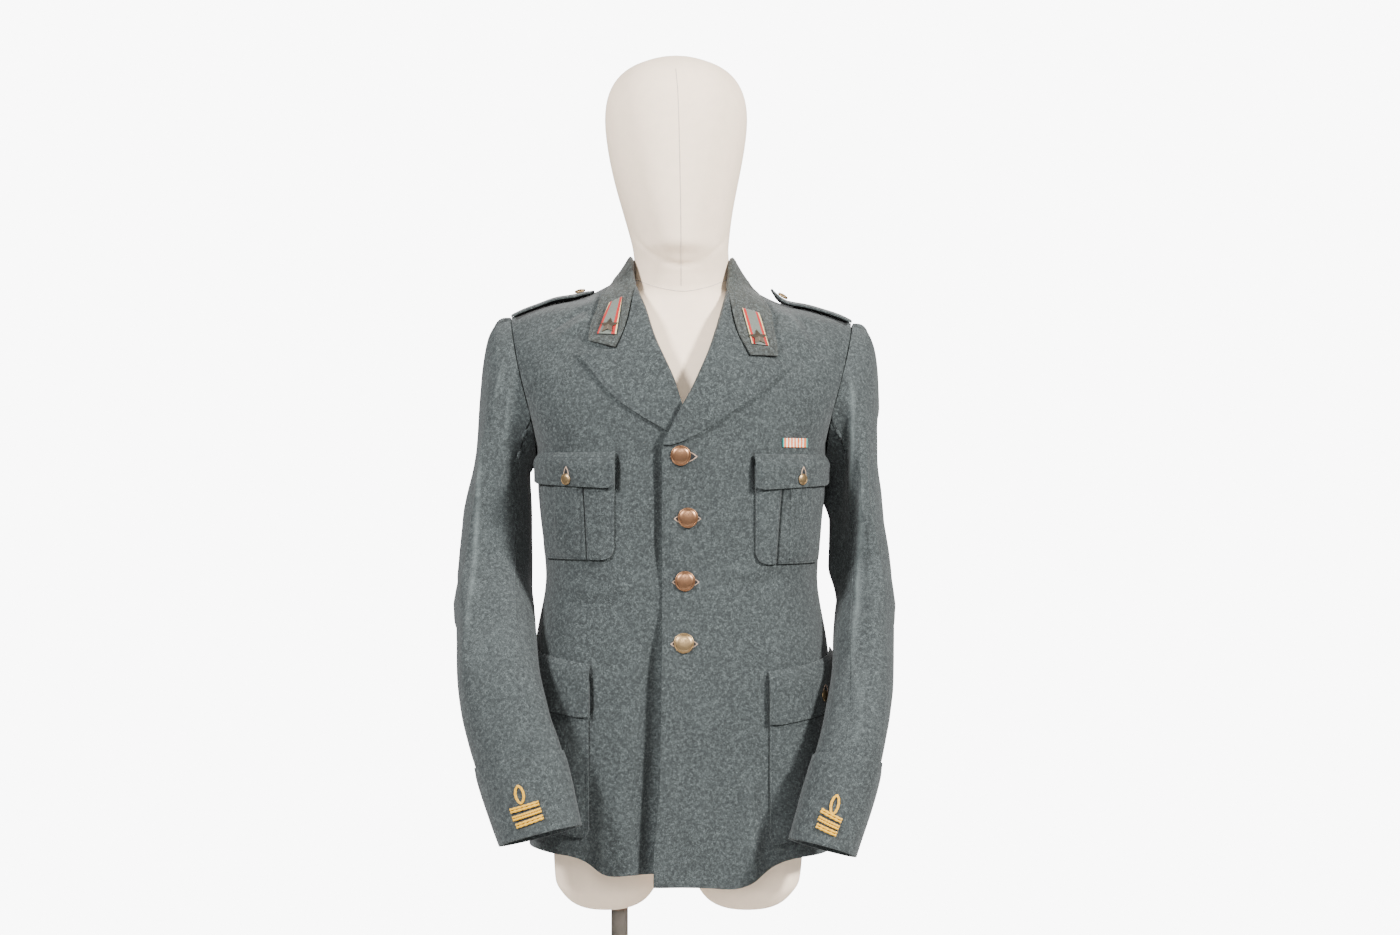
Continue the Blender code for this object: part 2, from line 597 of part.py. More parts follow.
def shoulder_strap(side, name):
    def place(u, v):
        v = 1 - v
        across, height = STRAP[side](v)
        half = STRAP_WIDTH / 2 * (1 - 0.12 * v) * (1 - 0.75 * ease(v, 0.86, 1.0) ** 2)
        wide = (u - 0.5) * 2 if side == RIGHT else (0.5 - u) * 2
        return Vector((side * across, 0.005 + wide * half, height - 4.0 * MM * wide ** 2
                       * (1 - 0.5 * ease(v, 0.8, 1.0))))
    return cloth(name, 4, 10, place, WOOL_SLOT)


# ------------------------------------------------------------------ pockets and flaps

# Sizes along the cloth: inner and outer edge, bottom, seam of the flap at both ends
POCKETS = {
    ("breast", RIGHT): dict(inner=0.0745, outer=0.1930, bottom=0.6760, top=0.8020, rise=0.06),
    ("breast", LEFT): dict(inner=0.0845, outer=0.2000, bottom=0.6710, top=0.8000, rise=0.06),
    ("hip", RIGHT): dict(inner=0.1035, outer=0.2500, bottom=0.3590, top=0.5580, rise=0.12),
    ("hip", LEFT): dict(inner=0.1005, outer=0.2470, bottom=0.3540, top=0.5500, rise=0.12),
}
LOW_UNDER_FLAP = 14 * MM   # a bag's open edge lies this far below its flap's seam
FLAP_DEPTH = {"breast": 46 * MM, "hip": 61 * MM}
PLEAT_HALF = {"breast": 17 * MM, "hip": 0.0}
PLEAT_RAISED = 1.2 * MM
BAG_BULGE = 4.6 * MM     # the bags' fronts stand this far off the body, their edges lie on it
CORNER = 13 * MM


def pocket_off(kind, size, around, height):
    """How far a bag's outer face stands off the front."""
    half = (size["outer"] - size["inner"]) / 2
    middle = (size["outer"] + size["inner"]) / 2
    to_edge = min(half - abs(around - middle), height - size["bottom"])
    off = mix(WOOL + 1.0 * MM, BAG_BULGE, ease(to_edge, 0.0, 14 * MM))
    if abs(around - middle) < PLEAT_HALF[kind]:
        off += PLEAT_RAISED * ease(to_edge, 0.0, 6 * MM)
    return off


def pocket(kind, side, name):
    size = POCKETS[kind, side]
    half = (size["outer"] - size["inner"]) / 2
    middle = (size["outer"] + size["inner"]) / 2
    if kind == "breast":
        pleat = PLEAT_HALF[kind] / half
        spots = (-1, -0.93, -0.78, -0.55, -pleat - 0.012, -pleat + 0.012, 0,
                 pleat - 0.012, pleat + 0.012, 0.55, 0.78, 0.93, 1)
    else:
        spots = (-1, -0.94, -0.82, -0.6, -0.3, 0, 0.3, 0.6, 0.82, 0.94, 1)
    us = [(s + 1) / 2 for s in spots]
    vs = (0, 0.045, 0.13, 0.42, 0.72, 1)

    def place(u, v):
        around = middle + half * (2 * u - 1) * side
        corner = max(abs(around - middle) - (half - CORNER), 0.0)
        bottom = size["bottom"] + CORNER - math.sqrt(max(CORNER ** 2 - corner ** 2, 0.0))
        top = size["top"] + size["rise"] * (around - size["inner"]) - LOW_UNDER_FLAP
        height = mix(bottom, top, v)
        return on_front(side, around, height, pocket_off(kind, size, around, height))
    return cloth(name, len(us) - 1, len(vs) - 1, place, WOOL_SLOT, us=us, vs=vs)


def flap_off(kind, side, around, height):
    size = POCKETS[kind, side]
    top = size["top"] + size["rise"] * (around - size["inner"])
    over_bag = BAG_BULGE + (PLEAT_RAISED if PLEAT_HALF[kind] else 0.0)
    hangs = ease(top - height, -1 * MM, LOW_UNDER_FLAP - 1 * MM)
    return mix(WOOL + LAID, over_bag + WOOL + 0.9 * MM, hangs)


def flap(kind, side, name):
    size = POCKETS[kind, side]
    low, high = size["inner"] - 1.5 * MM, size["outer"] + 1.5 * MM

    def place(u, v):
        around = mix(low, high, mirrored(side, u))
        top = size["top"] + size["rise"] * (around - size["inner"]) + 1.5 * MM
        edge = min(around - low, high - around)
        depth = FLAP_DEPTH[kind] - 2.5 * MM * (1 - ease(edge, 0, 5 * MM))
        height = mix(top - depth, top, v)
        return on_front(side, around, height, flap_off(kind, side, around, height))
    vs = (0, 0.4, 1 - LOW_UNDER_FLAP / FLAP_DEPTH[kind], 1)
    return cloth(name, 11, 3, place, WOOL_SLOT, vs=vs)


# ------------------------------------------------------------------ buttons and trim

def turned(name, profile, slot, steps=20):
    """A turned piece about +Z from (radius, height) points, top to bottom down its outer side."""
    bm = bmesh.new()
    verts = [bm.verts.new((radius, 0, height)) for radius, height in profile]
    for a, b in zip(verts, verts[1:]):
        bm.edges.new((a, b))
    made = finish_mesh(name, bm, slot, smooth=False)
    screw = made.modifiers.new("Turn", "SCREW")
    screw.axis = "Z"
    screw.steps = screw.render_steps = steps
    screw.use_merge_vertices = True
    screw.merge_threshold = 0.00001
    screw.use_smooth_shade = True
    return made


def face(made, spot, normal):
    """Stands a piece that was made about +Z on a spot, facing along the normal."""
    made.rotation_mode = "QUATERNION"
    made.location = spot
    made.rotation_quaternion = Vector(normal).to_track_quat("Z", "Y")
    return made


def button(name, radius, spot, normal, slot):
    """A domed sheet-metal button with a rolled rim; the small ones are plainer."""
    if radius > 9 * MM:
        steps, profile = 16, [(0, 0.30), (0.5, 0.26), (0.86, 0.14), (0.97, 0.16), (1, 0.07), (0.9, 0), (0, 0)]
    else:
        steps, profile = 12, [(0, 0.34), (0.55, 0.28), (1, 0.10), (0.92, 0), (0, 0)]
    profile = [(radius * across, radius * height) for across, height in profile]
    return face(turned(name, profile, slot, steps), spot, normal)


def front_spot(side, across, z, off):
    """Point and normal off a front at a place seen from straight ahead."""
    spot = front_at(side, across, z, off)
    right = front_at(side, across + 2 * MM, z, off) - front_at(side, across - 2 * MM, z, off)
    up = front_at(side, across, z + 2 * MM, off) - front_at(side, across, z - 2 * MM, off)
    normal = right.cross(up).normalized()
    return spot, (normal if normal.y < 0 else -normal)


def flap_button(kind, side, name, around, height, radius):
    off = flap_off(kind, side, around, height) + LAID
    spot = on_front(side, around, height, off)
    right = on_front(side, around + 3 * MM, height, off) - on_front(side, around - 3 * MM, height, off)
    up = on_front(side, around, height + 3 * MM, off) - on_front(side, around, height - 3 * MM, off)
    normal = right.cross(up).normalized()
    if normal.dot(Vector((spot.x, spot.y, 0))) < 0:
        normal = -normal
    return button(name, radius, spot, normal, BRASS)


def star(name, size, spot, normal, slot):
    """A five-pointed star, ridged from its middle to its points."""
    bm = bmesh.new()
    bmesh.ops.create_circle(bm, cap_ends=True, segments=10, radius=size)
    bm.verts.ensure_lookup_table()
    for i, vert in enumerate(bm.verts):
        if i % 2:
            vert.co *= 0.46
    plate = bm.faces[:]
    raised = bmesh.ops.extrude_face_region(bm, geom=plate)
    top = [g for g in raised["geom"] if isinstance(g, bmesh.types.BMFace)]
    for vert in {v for f in top for v in f.verts}:
        vert.co.z += 0.8 * MM
    centre = bmesh.ops.poke(bm, faces=top)["verts"]
    for vert in centre:
        vert.co.z += 0.9 * MM
    bmesh.ops.recalc_face_normals(bm, faces=bm.faces)
    return face(finish_mesh(name, bm, slot, smooth=False), spot, normal)


# corners of each collar tab, as (across, height): top inner, top outer, bottom outer, bottom inner
COLLAR_TAB = {
    RIGHT: ((0.0665, 0.9735), (0.0810, 0.9670), (0.0940, 0.9300), (0.0722, 0.9290)),
    LEFT: ((0.0690, 0.9600), (0.0880, 0.9545), (0.0985, 0.9160), (0.0795, 0.9178)),
}
TAB_OFF = 5.3 * MM         # a tab's outer face off the front, over the collar


def collar_tab(side, name):
    corners = [np.array(c) for c in COLLAR_TAB[side]]

    def place(u, v):
        u = mirrored(side, u)
        across, height = mix(mix(corners[3], corners[2], u), mix(corners[0], corners[1], u), v)
        return front_at(side, across, height, TAB_OFF)
    return cloth(name, 3, 6, place, RIBBON, thickness=0.6 * MM)


def ribbon_bar(name):
    def place(u, v):
        return front_at(LEFT, mix(0.1148, 0.1428, u), mix(0.8030, 0.8132, v), 2.0 * MM)
    return cloth(name, 4, 2, place, RIBBON, thickness=1.2 * MM)


def on_cuff(side, x, z, off):
    """The point of the cuff's front that shows at this x and z; found by closing in on it."""
    at, turn, step_at, step_turn = 0.92, 0.28, 0.06, 0.16
    for _ in range(9):
        options = [(at + i * step_at / 2, turn + j * step_turn / 2)
                   for i in (-2, -1, 0, 1, 2) for j in (-2, -1, 0, 1, 2)]

        def miss(option):
            spot = sleeve_ring(side, option[0], option[1], off)
            return (side * spot.x - x) ** 2 + (spot.z - z) ** 2
        at, turn = min(options, key=miss)
        step_at, step_turn = step_at / 2, step_turn / 2
    return sleeve_ring(side, at, turn, off)


BRAID_WIDE, BRAID_THICK = 6.4 * MM, 1.4 * MM
# middle lines of the bars on each cuff as (across, height): outer end, inner end; then the loop
BRAID_BARS = {
    RIGHT: (((0.1880, 0.4050), (0.1540, 0.4160)), ((0.1860, 0.3965), (0.1525, 0.4070)),
            ((0.1830, 0.3878), (0.1498, 0.3985))),
    LEFT: (((0.1785, 0.3950), (0.1530, 0.4070)), ((0.1765, 0.3858), (0.1500, 0.3982)),
           ((0.1738, 0.3772), (0.1475, 0.3893))),
}
BRAID_LOOP = {RIGHT: (0.1745, 0.4262, -0.22), LEFT: (0.1685, 0.4166, -0.30)}
LOOP_HALF_WIDE, LOOP_HALF_TALL, LOOP_WIRE = 4.6 * MM, 10.5 * MM, 1.35 * MM


def braid_bar(side, name, ends):
    outer, inner = np.array(ends[0]), np.array(ends[1])
    along = inner - outer
    up = np.array((along[1], -along[0])) / np.hypot(*along)
    if up[1] < 0:
        up = -up

    def place(u, v):
        u = 1 - mirrored(side, u)
        across, height = mix(outer, inner, u) + up * BRAID_WIDE * (v - 0.5)
        return on_cuff(side, across, height, CUFF_OFF + BRAID_THICK + 0.5 * MM)
    return cloth(name, 5, 1, place, GOLD, thickness=BRAID_THICK)


def braid_loop(side, name):
    across, height, lean = BRAID_LOOP[side]
    data = bpy.data.curves.new(name, "CURVE")
    data.dimensions = "3D"
    data.bevel_depth = LOOP_WIRE
    data.bevel_resolution = 1
    steps = 16
    spline = data.splines.new("POLY")
    spline.points.add(steps - 1)
    for i, point in enumerate(spline.points):
        angle = 2 * math.pi * i / steps
        a, h = LOOP_HALF_WIDE * math.sin(angle), LOOP_HALF_TALL * math.cos(angle)
        spot = on_cuff(side, across + a * math.cos(lean) - h * math.sin(lean),
                       height + h * math.cos(lean) + a * math.sin(lean),
                       CUFF_OFF + LOOP_WIRE + 0.9 * MM)
        point.co = (*spot, 1)
    spline.use_cyclic_u = True
    made = bpy.data.objects.new(name, data)
    data.materials.append(GOLD)
    TUNIC.objects.link(made)
    return made


# ------------------------------------------------------------------ dress form and stand

# height   middle x  half width  front y  back y  squareness
FORM_ROWS = smooth_table([
    (0.360, 0.0, 0.000, 0.000, 0.000, 2.2), (0.366, 0.0, 0.100, -0.070, 0.060, 2.3),
    (0.385, 0.0, 0.142, -0.105, 0.090, 2.5), (0.420, 0.0, 0.158, -0.124, 0.104, 2.6),
    (0.480, 0.0, 0.161, -0.129, 0.106, 2.6), (0.550, 0.0, 0.156, -0.127, 0.098, 2.5),
    (0.600, 0.0, 0.149, -0.123, 0.088, 2.4), (0.647, 0.0, 0.143, -0.121, 0.083, 2.4),
    (0.700, 0.0, 0.147, -0.122, 0.088, 2.4), (0.760, 0.0, 0.153, -0.124, 0.098, 2.4),
    (0.800, 0.0, 0.155, -0.124, 0.104, 2.4), (0.840, 0.0, 0.155, -0.121, 0.107, 2.4),
    (0.870, 0.0, 0.158, -0.113, 0.107, 2.4), (0.900, 0.0, 0.162, -0.101, 0.103, 2.3),
    (0.920, 0.0, 0.162, -0.090, 0.096, 2.3), (0.935, 0.0, 0.157, -0.080, 0.088, 2.3),
    (0.948, 0.0, 0.140, -0.072, 0.078, 2.2), (0.960, 0.0, 0.115, -0.067, 0.070, 2.2),
    (0.970, 0.0, 0.086, -0.064, 0.062, 2.1), (0.982, 0.0, 0.066, -0.061, 0.058, 2.0),
    (0.995, 0.0, 0.0570, -0.058, 0.055, 2.0), (1.010, 0.0, 0.0560, -0.058, 0.054, 2.0),
    (1.024, 0.0, 0.0560, -0.068, 0.054, 2.0), (1.036, -0.001, 0.0565, -0.083, 0.055, 2.0),
    (1.050, -0.002, 0.0585, -0.089, 0.058, 2.0), (1.075, -0.004, 0.0635, -0.093, 0.068, 2.1),
    (1.110, -0.006, 0.0715, -0.097, 0.084, 2.1), (1.150, -0.0065, 0.0800, -0.099, 0.096, 2.1),
    (1.186, -0.0065, 0.0840, -0.098, 0.100, 2.1), (1.215, -0.0065, 0.0815, -0.092, 0.097, 2.1),
    (1.240, -0.0065, 0.0690, -0.077, 0.083, 2.0), (1.254, -0.0065, 0.0500, -0.056, 0.061, 2.0),
    (1.262, -0.0065, 0.0280, -0.032, 0.034, 2.0), (1.2655, -0.0065, 0.000, 0.000, 0.000, 2.0),
])
FORM_HEIGHTS = (0.360, 0.366, 0.385, 0.42, 0.50, 0.60, 0.69, 0.78, 0.85, 0.90,
                0.925, 0.945, 0.960, 0.972, 0.984, 0.996, 1.010, 1.024, 1.036, 1.050, 1.085,
                1.13, 1.18, 1.215, 1.238, 1.253, 1.262, 1.2655)
STUMPS = {RIGHT: (-0.0870, 0.0635), LEFT: (0.0795, 0.0645)}     # middle x, half width
STUMP_BOTTOM, STUMP_TOP = 0.268, 0.50
POLE_RADIUS, POLE_X = 10 * MM, -0.0735
BASE_RADIUS, BASE_THICK = 0.185, 10 * MM


def rounded_body(name, heights, ring, around):
    """A closed body from a globe whose parallels are set to the rings, pole to pole."""
    bm = bmesh.new()
    bmesh.ops.create_uvsphere(bm, u_segments=around, v_segments=len(heights) - 1, radius=1.0)
    for vert in bm.verts:
        level = round((math.pi / 2 + math.asin(max(-1, min(1, vert.co.z)))) / math.pi
                      * (len(heights) - 1))
        vert.co = ring(heights[level], math.atan2(vert.co.y, vert.co.x))
    return finish_mesh(name, bm, LINEN)


def superellipse(angle, square):
    c, s = math.cos(angle), math.sin(angle)
    return (math.copysign(abs(c) ** (2 / square), c), math.copysign(abs(s) ** (2 / square), s))


def dress_form(name):
    def torso(height, angle):
        middle, half, front, back, square = FORM_ROWS(height)
        c, s = superellipse(angle, square)
        return Vector((middle + half * c, s * (back if s > 0 else -front), height))

    body = rounded_body(name, FORM_HEIGHTS, torso, 26)
    for side in (RIGHT, LEFT):
        middle, half = STUMPS[side]

        def stump(height, angle):
            rise = (height - STUMP_BOTTOM) / (STUMP_TOP - STUMP_BOTTOM)
            reach = min(1.0, math.sin(math.pi * min(max(rise * 2.2, 0), 0.5))) ** 0.55
            if rise > 0.9:
                reach = math.sqrt(max(1 - ((rise - 0.9) / 0.1) ** 2, 0))
            c, s = superellipse(angle, 2.3)
            return Vector((middle + half * reach * c, -0.016 + 0.088 * reach * s, height))
        heights = [STUMP_BOTTOM + (STUMP_TOP - STUMP_BOTTOM) * t for t in
                   (0, 0.012, 0.045, 0.10, 0.17, 0.24, 0.5, 0.9, 0.97, 1)]
        thigh = rounded_body(f"thigh_{side}", heights, stump, 18)
        join = body.modifiers.new(f"Thigh {side}", "BOOLEAN")
        join.operation = "UNION"
        join.object = thigh
        thigh.hide_render = True
        thigh.display_type = "WIRE"
        TUNIC.objects.unlink(thigh)
        GUIDES.objects.link(thigh)
    return body


def stand():
    low = BASE_THICK + GAP
    pole = turned("stand_pole", [(0, STUMP_BOTTOM - 1.2 * MM), (POLE_RADIUS, STUMP_BOTTOM - 1.2 * MM),
                                 (POLE_RADIUS, low), (0, low)], STEEL, steps=24)
    pole.location.x = POLE_X
    turned("stand_base", [(0, BASE_THICK), (BASE_RADIUS - 2 * MM, BASE_THICK),
                          (BASE_RADIUS, BASE_THICK - 2 * MM), (BASE_RADIUS, 0), (0, 0)],
           STEEL, steps=48)


# ------------------------------------------------------------------ the whole object

FRONT_BUTTONS = ((0.0003, 0.7935), (0.0083, 0.7238), (0.0050, 0.6528), (0.0038, 0.5838))
MAIN_BUTTON, SMALL_BUTTON = 11.5 * MM, 6.5 * MM
SIDES = ((RIGHT, "right"), (LEFT, "left"))


def build():
    for side, word in SIDES:
        front_panel(side, f"front_{word}")
        back_panel(side, f"back_{word}")
        sleeve_panel(side, f"sleeve_{word}_upper", FOREARM_SEAM, HINDARM_SEAM, UPPER_COLUMNS)
        sleeve_panel(side, f"sleeve_{word}_under", HINDARM_SEAM - 1, FOREARM_SEAM, UNDER_COLUMNS)
        cuff(side, f"cuff_{word}")
        lapel(side, f"lapel_{word}")
        shoulder_strap(side, f"shoulder_strap_{word}")
        for kind in ("breast", "hip"):
            pocket(kind, side, f"{kind}_pocket_{word}")
            flap(kind, side, f"{kind}_flap_{word}")
        collar_tab(side, f"collar_tab_{word}")
        for ends, part in zip(BRAID_BARS[side], ("top", "middle", "low")):
            braid_bar(side, f"cuff_braid_{part}_{word}", ends)
        braid_loop(side, f"cuff_braid_loop_{word}")
    collar("collar")
    ribbon_bar("ribbon_bar")
    for i, (across, z) in enumerate(FRONT_BUTTONS):
        spot, normal = front_spot(LEFT, across, z, 1.0 * MM)
        button(f"front_button_{i + 1}", MAIN_BUTTON, spot, normal, BRASS if i == 3 else COPPER)
    for side, word in SIDES:
        size = POCKETS["breast", side]
        flap_button("breast", side, f"breast_button_{word}", size["inner"] + 55 * MM, 0.770,
                    SMALL_BUTTON)
        size = POCKETS["hip", side]
        flap_button("hip", side, f"hip_button_{word}", size["inner"] + 73 * MM,
                    size["top"] - 30 * MM, SMALL_BUTTON)
        across, height = STRAP[side](0.84)
        lower, higher = STRAP[side](0.72), STRAP[side](0.96)
        up = Vector((side * (higher[1] - lower[1]), 0, lower[0] - higher[0])).normalized()
        button(f"strap_button_{word}", SMALL_BUTTON,
               Vector((side * across, 0.005, height)) + up * 1.2 * MM, up, BRASS)
        corner = COLLAR_TAB[side]
        across = (corner[2][0] + corner[3][0]) / 2 - 2.5 * MM
        height = corner[2][1] + 8.5 * MM
        spot, normal = front_spot(side, across, height, TAB_OFF + 0.7 * MM)
        star(f"collar_star_{word}", 7.5 * MM, spot, normal, STAR_METAL)
    dress_form("dress_form")
    stand()


for existing in list(bpy.data.objects):
    bpy.data.objects.remove(existing)
TUNIC = bpy.data.collections.new("Military dress tunic")
GUIDES = bpy.data.collections.new("Guides")
bpy.context.scene.collection.children.link(TUNIC)
bpy.context.scene.collection.children.link(GUIDES)
WOOL_SLOT = material("Grey-green wool", (0.105, 0.133, 0.137), 0.95)
LINEN = material("Cream linen", (0.84, 0.77, 0.70), 0.9)
COPPER = material("Copper-brown metal", (0.43, 0.21, 0.11), 0.35, 1.0)
BRASS = material("Aged brass", (0.43, 0.28, 0.08), 0.4, 1.0)
STAR_METAL = material("Dark bronze", (0.16, 0.14, 0.11), 0.45, 1.0)
RIBBON = material("Woven ribbon", (0.36, 0.34, 0.28), 0.8)
GOLD = material("Gold braid", (0.80, 0.48, 0.08), 0.5)
STEEL = material("Brushed steel", (0.35, 0.33, 0.30), 0.4, 1.0)
build()
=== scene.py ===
"""A wool dress tunic on a limbless dress form: its cloth, sewing, trim and finishes.

Metres, +Z up, the front faces -Y, so the wearer's left is +X. Every cloth piece is a thin wall
that lies on its solid's form, with its folds placed as listed.
"""

import math

import bmesh
import bpy
import numpy as np
from bpy.props import FloatProperty, FloatVectorProperty, PointerProperty
from mathutils import Matrix, Vector, noise
from mathutils.bvhtree import BVHTree


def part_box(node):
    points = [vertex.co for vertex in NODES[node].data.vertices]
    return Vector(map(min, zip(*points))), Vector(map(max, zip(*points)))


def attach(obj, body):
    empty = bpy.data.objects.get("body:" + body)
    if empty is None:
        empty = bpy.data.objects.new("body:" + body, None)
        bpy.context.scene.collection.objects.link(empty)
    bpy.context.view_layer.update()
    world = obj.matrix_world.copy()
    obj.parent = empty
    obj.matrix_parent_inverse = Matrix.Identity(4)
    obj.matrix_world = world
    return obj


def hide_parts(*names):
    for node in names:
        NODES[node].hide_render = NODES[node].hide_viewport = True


bl_info = {
    "name": "Dress tunic on a form",
    "version": (1, 0, 0),
    "blender": (4, 5, 0),
    "location": "3D View > Sidebar > Tunic",
    "description": "Builds the cloth, sewing, trim, form and stage of a dress tunic",
    "category": "Add Mesh",
}

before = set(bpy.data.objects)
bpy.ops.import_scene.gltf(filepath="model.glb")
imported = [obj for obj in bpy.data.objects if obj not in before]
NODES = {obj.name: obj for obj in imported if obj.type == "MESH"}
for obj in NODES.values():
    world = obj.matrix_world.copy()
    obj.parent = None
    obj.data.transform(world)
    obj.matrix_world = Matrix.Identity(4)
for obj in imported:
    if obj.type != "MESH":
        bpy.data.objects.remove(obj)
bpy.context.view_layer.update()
BODY = "root"
MM = 0.001
SIDES = (("right", -1), ("left", 1))   # the wearer's sides, as signs of X
RIM_ANGLE = math.radians(50)           # sharper edges are a wall's cut edges
CHEST = 0.93                           # height above which the cloth also faces up


# ------------------------------------------------------------------ colours and sizes

def linear(code):
    """The linear red, green and blue of an sRGB hex colour."""
    values = [int(code[i:i + 2], 16) / 255 for i in (1, 3, 5)]
    return [v / 12.92 if v <= 0.04045 else ((v + 0.055) / 1.055) ** 2.4 for v in values]


def colour(name, description, code):
    """A colour property that starts at an sRGB hex colour."""
    return FloatVectorProperty(name=name, description=description, subtype="COLOR", size=3,
                               min=0, max=1, default=linear(code))


def length(name, description, default):
    """A length property, in metres."""
    return FloatProperty(name=name, description=description, unit="LENGTH", default=default,
                         min=0, precision=5)


class TunicSizes(bpy.types.PropertyGroup):
    """Sizes of the cloth, its folds and its sewing."""
    fold: FloatProperty(name="Fold depth", description="Share of the folds' full depth",
                        default=1.0, min=0.0, max=1.5)
    uneven: length("Unevenness", "How far the cloth wanders from an even shape", 0.9 * MM)
    stitch: length("Stitch", "Length of a machine stitch", 3.2 * MM)
    thread: length("Thread", "Radius of the sewing thread", 0.32 * MM)
    button: length("Button", "Radius of a front button", 11.5 * MM)
    cord: length("Braid cord", "Radius of one cord of the cuff braid", 1.25 * MM)


class TunicColours(bpy.types.PropertyGroup):
    """Colours of the finishes."""
    wool: colour("Wool", "Middle grey-green of the melange wool", "#2F3333")
    wool_light: colour("Light fibres", "The palest fibres of the wool", "#6F7877")
    wool_dark: colour("Dark fibres", "The darkest fibres of the wool", "#1A1E20")
    wool_brown: colour("Browned wool", "The wool where it has browned", "#343633")
    wool_blue: colour("Sleeve wool", "The slightly bluer wool of the sleeves", "#333737")
    linen: colour("Linen", "The dress form's cover", "#FDE6CC")
    copper: colour("Copper", "Plating of three front buttons", "#8F6A4F")
    brass: colour("Brass", "Aged brass of the other buttons", "#9C8360")
    bronze: colour("Bronze", "The collar stars", "#6E6256")
    gold: colour("Gold thread", "The cuff braid", "#D8A204")
    steel: colour("Steel", "The stand", "#857D74")


# ------------------------------------------------------------------ materials

NOISE = {1: 0.3, 2: 0.7}      # the range that a noise mostly keeps to, as inputs of a map range


def add(tree, kind, inputs=None, out=0, **settings):
    """Adds a node with its settings and links: each input is given a value or the socket that
    feeds it. Returns one of the node's outputs, the first one unless another is asked for."""
    node = tree.nodes.new("ShaderNode" + kind)
    for name, value in settings.items():
        setattr(node, name, value)
    for name, value in (inputs or {}).items():
        if isinstance(value, bpy.types.NodeSocket):
            tree.links.new(value, node.inputs[name])
        else:
            node.inputs[name].default_value = value
    return node.outputs[out] if node.outputs else None


def new_material(name):
    """An empty material, its node tree and its place in the object."""
    made = bpy.data.materials.new(name)
    made.use_nodes = True
    made.node_tree.nodes.clear()
    return made, made.node_tree, add(made.node_tree, "TexCoord", out="Object")


def finish_material(tree, inputs):
    """Ends a material in a principled surface with these inputs."""
    add(tree, "OutputMaterial", {"Surface": add(tree, "BsdfPrincipled", inputs)})


def rgba(value):
    """A colour with full opacity added."""
    return (*value[:3], 1.0)


def wool(name, base, seed):
    """Milled melange wool: matt, with a faint sheen of nap, a grain of about 1 mm and blotches of
    about 40 mm. Its dark and pale fibres lie in short wisps, drawn about 0.4 mm wide and 2 to
    4 mm long, coarser than real ones, so that they show. The attribute wear_and_highlight makes
    it pale in patches along fold ridges: partly scuffing, partly a painted highlight."""
    look = bpy.context.scene.tunic_colours
    made, tree, place = new_material(name)
    place = add(tree, "Mapping", {"Vector": place, "Location": (seed, 2 * seed, 3 * seed)})
    blotches = add(tree, "TexNoise", {"Vector": place, "Scale": 26, "Detail": 3})
    grain = add(tree, "TexNoise", {"Vector": place, "Scale": 900, "Detail": 3, "Roughness": 0.65})
    shade = add(tree, "MapRange", {"Value": blotches, **NOISE, 3: 0.90, 4: 1.10})
    speck = add(tree, "MapRange", {"Value": grain, **NOISE, 3: 0.55, 4: 1.5})
    both = add(tree, "Math", {0: shade, 1: speck}, operation="MULTIPLY")
    layer = add(tree, "VectorMath", {0: base[:], "Scale": both}, operation="SCALE")
    wisps = []
    for scale, tone, amount, shift in (   # the fibres, and where each kind lies
            (480, look.wool_dark, 0.98, 0.31),
            (420, look.wool_light, 0.66, 0.77),
            (620, look.wool_light, 0.46, 0.13)):
        there = add(tree, "Mapping", {"Vector": place, "Location": (shift, shift, -shift)})
        lines = add(tree, "TexNoise", {"Vector": there, "Scale": scale, "Detail": 1.5,
                                       "Distortion": 1.6})
        off = add(tree, "Math", {0: lines, 1: 0.5}, operation="SUBTRACT")
        near = add(tree, "Math", {0: off}, operation="ABSOLUTE")
        line = add(tree, "MapRange", {"Value": near, 1: 0.0, 2: 0.05, 3: 1.0, 4: 0.0})
        parts = add(tree, "TexNoise", {"Vector": there, "Scale": scale * 0.6, "Detail": 1})
        gate = add(tree, "MapRange", {"Value": parts, 1: 0.46, 2: 0.56, 3: 0.0, 4: amount})
        wisps.append(add(tree, "Math", {0: line, 1: gate}, operation="MULTIPLY"))
        layer = add(tree, "Mix", {0: wisps[-1], 6: layer, 7: rgba(tone)}, 2, data_type="RGBA")
    # painted highlight: this attribute pales the folds' ridges, partly for scuffing and partly
    # for the light that catches them
    wear_and_highlight = add(tree, "Attribute", out="Fac", attribute_name="wear_and_highlight")
    patchy = add(tree, "MapRange", {"Value": blotches, 1: 0.35, 2: 0.65, 3: 0.35, 4: 1.0})
    pale_wear_and_highlight = add(tree, "Math", {0: wear_and_highlight, 1: patchy}, operation="MULTIPLY")
    speckled_wear_and_highlight = add(tree, "Math", {0: pale_wear_and_highlight, 1: speck}, operation="MULTIPLY")
    layer = add(tree, "Mix", {0: speckled_wear_and_highlight, 6: layer, 7: rgba(look.wool_light)}, 2,
                data_type="RGBA")
    height = add(tree, "Math", {0: grain, 1: wisps[1]}, operation="ADD")
    bump = add(tree, "Bump", {"Height": height, "Strength": 0.45, "Distance": 0.5 * MM})
    finish_material(tree, {"Base Color": layer, "Roughness": 0.95, "Normal": bump,
                           "Specular IOR Level": 0.2, "Sheen Weight": 0.12,
                           "Sheen Roughness": 0.5})
    return made


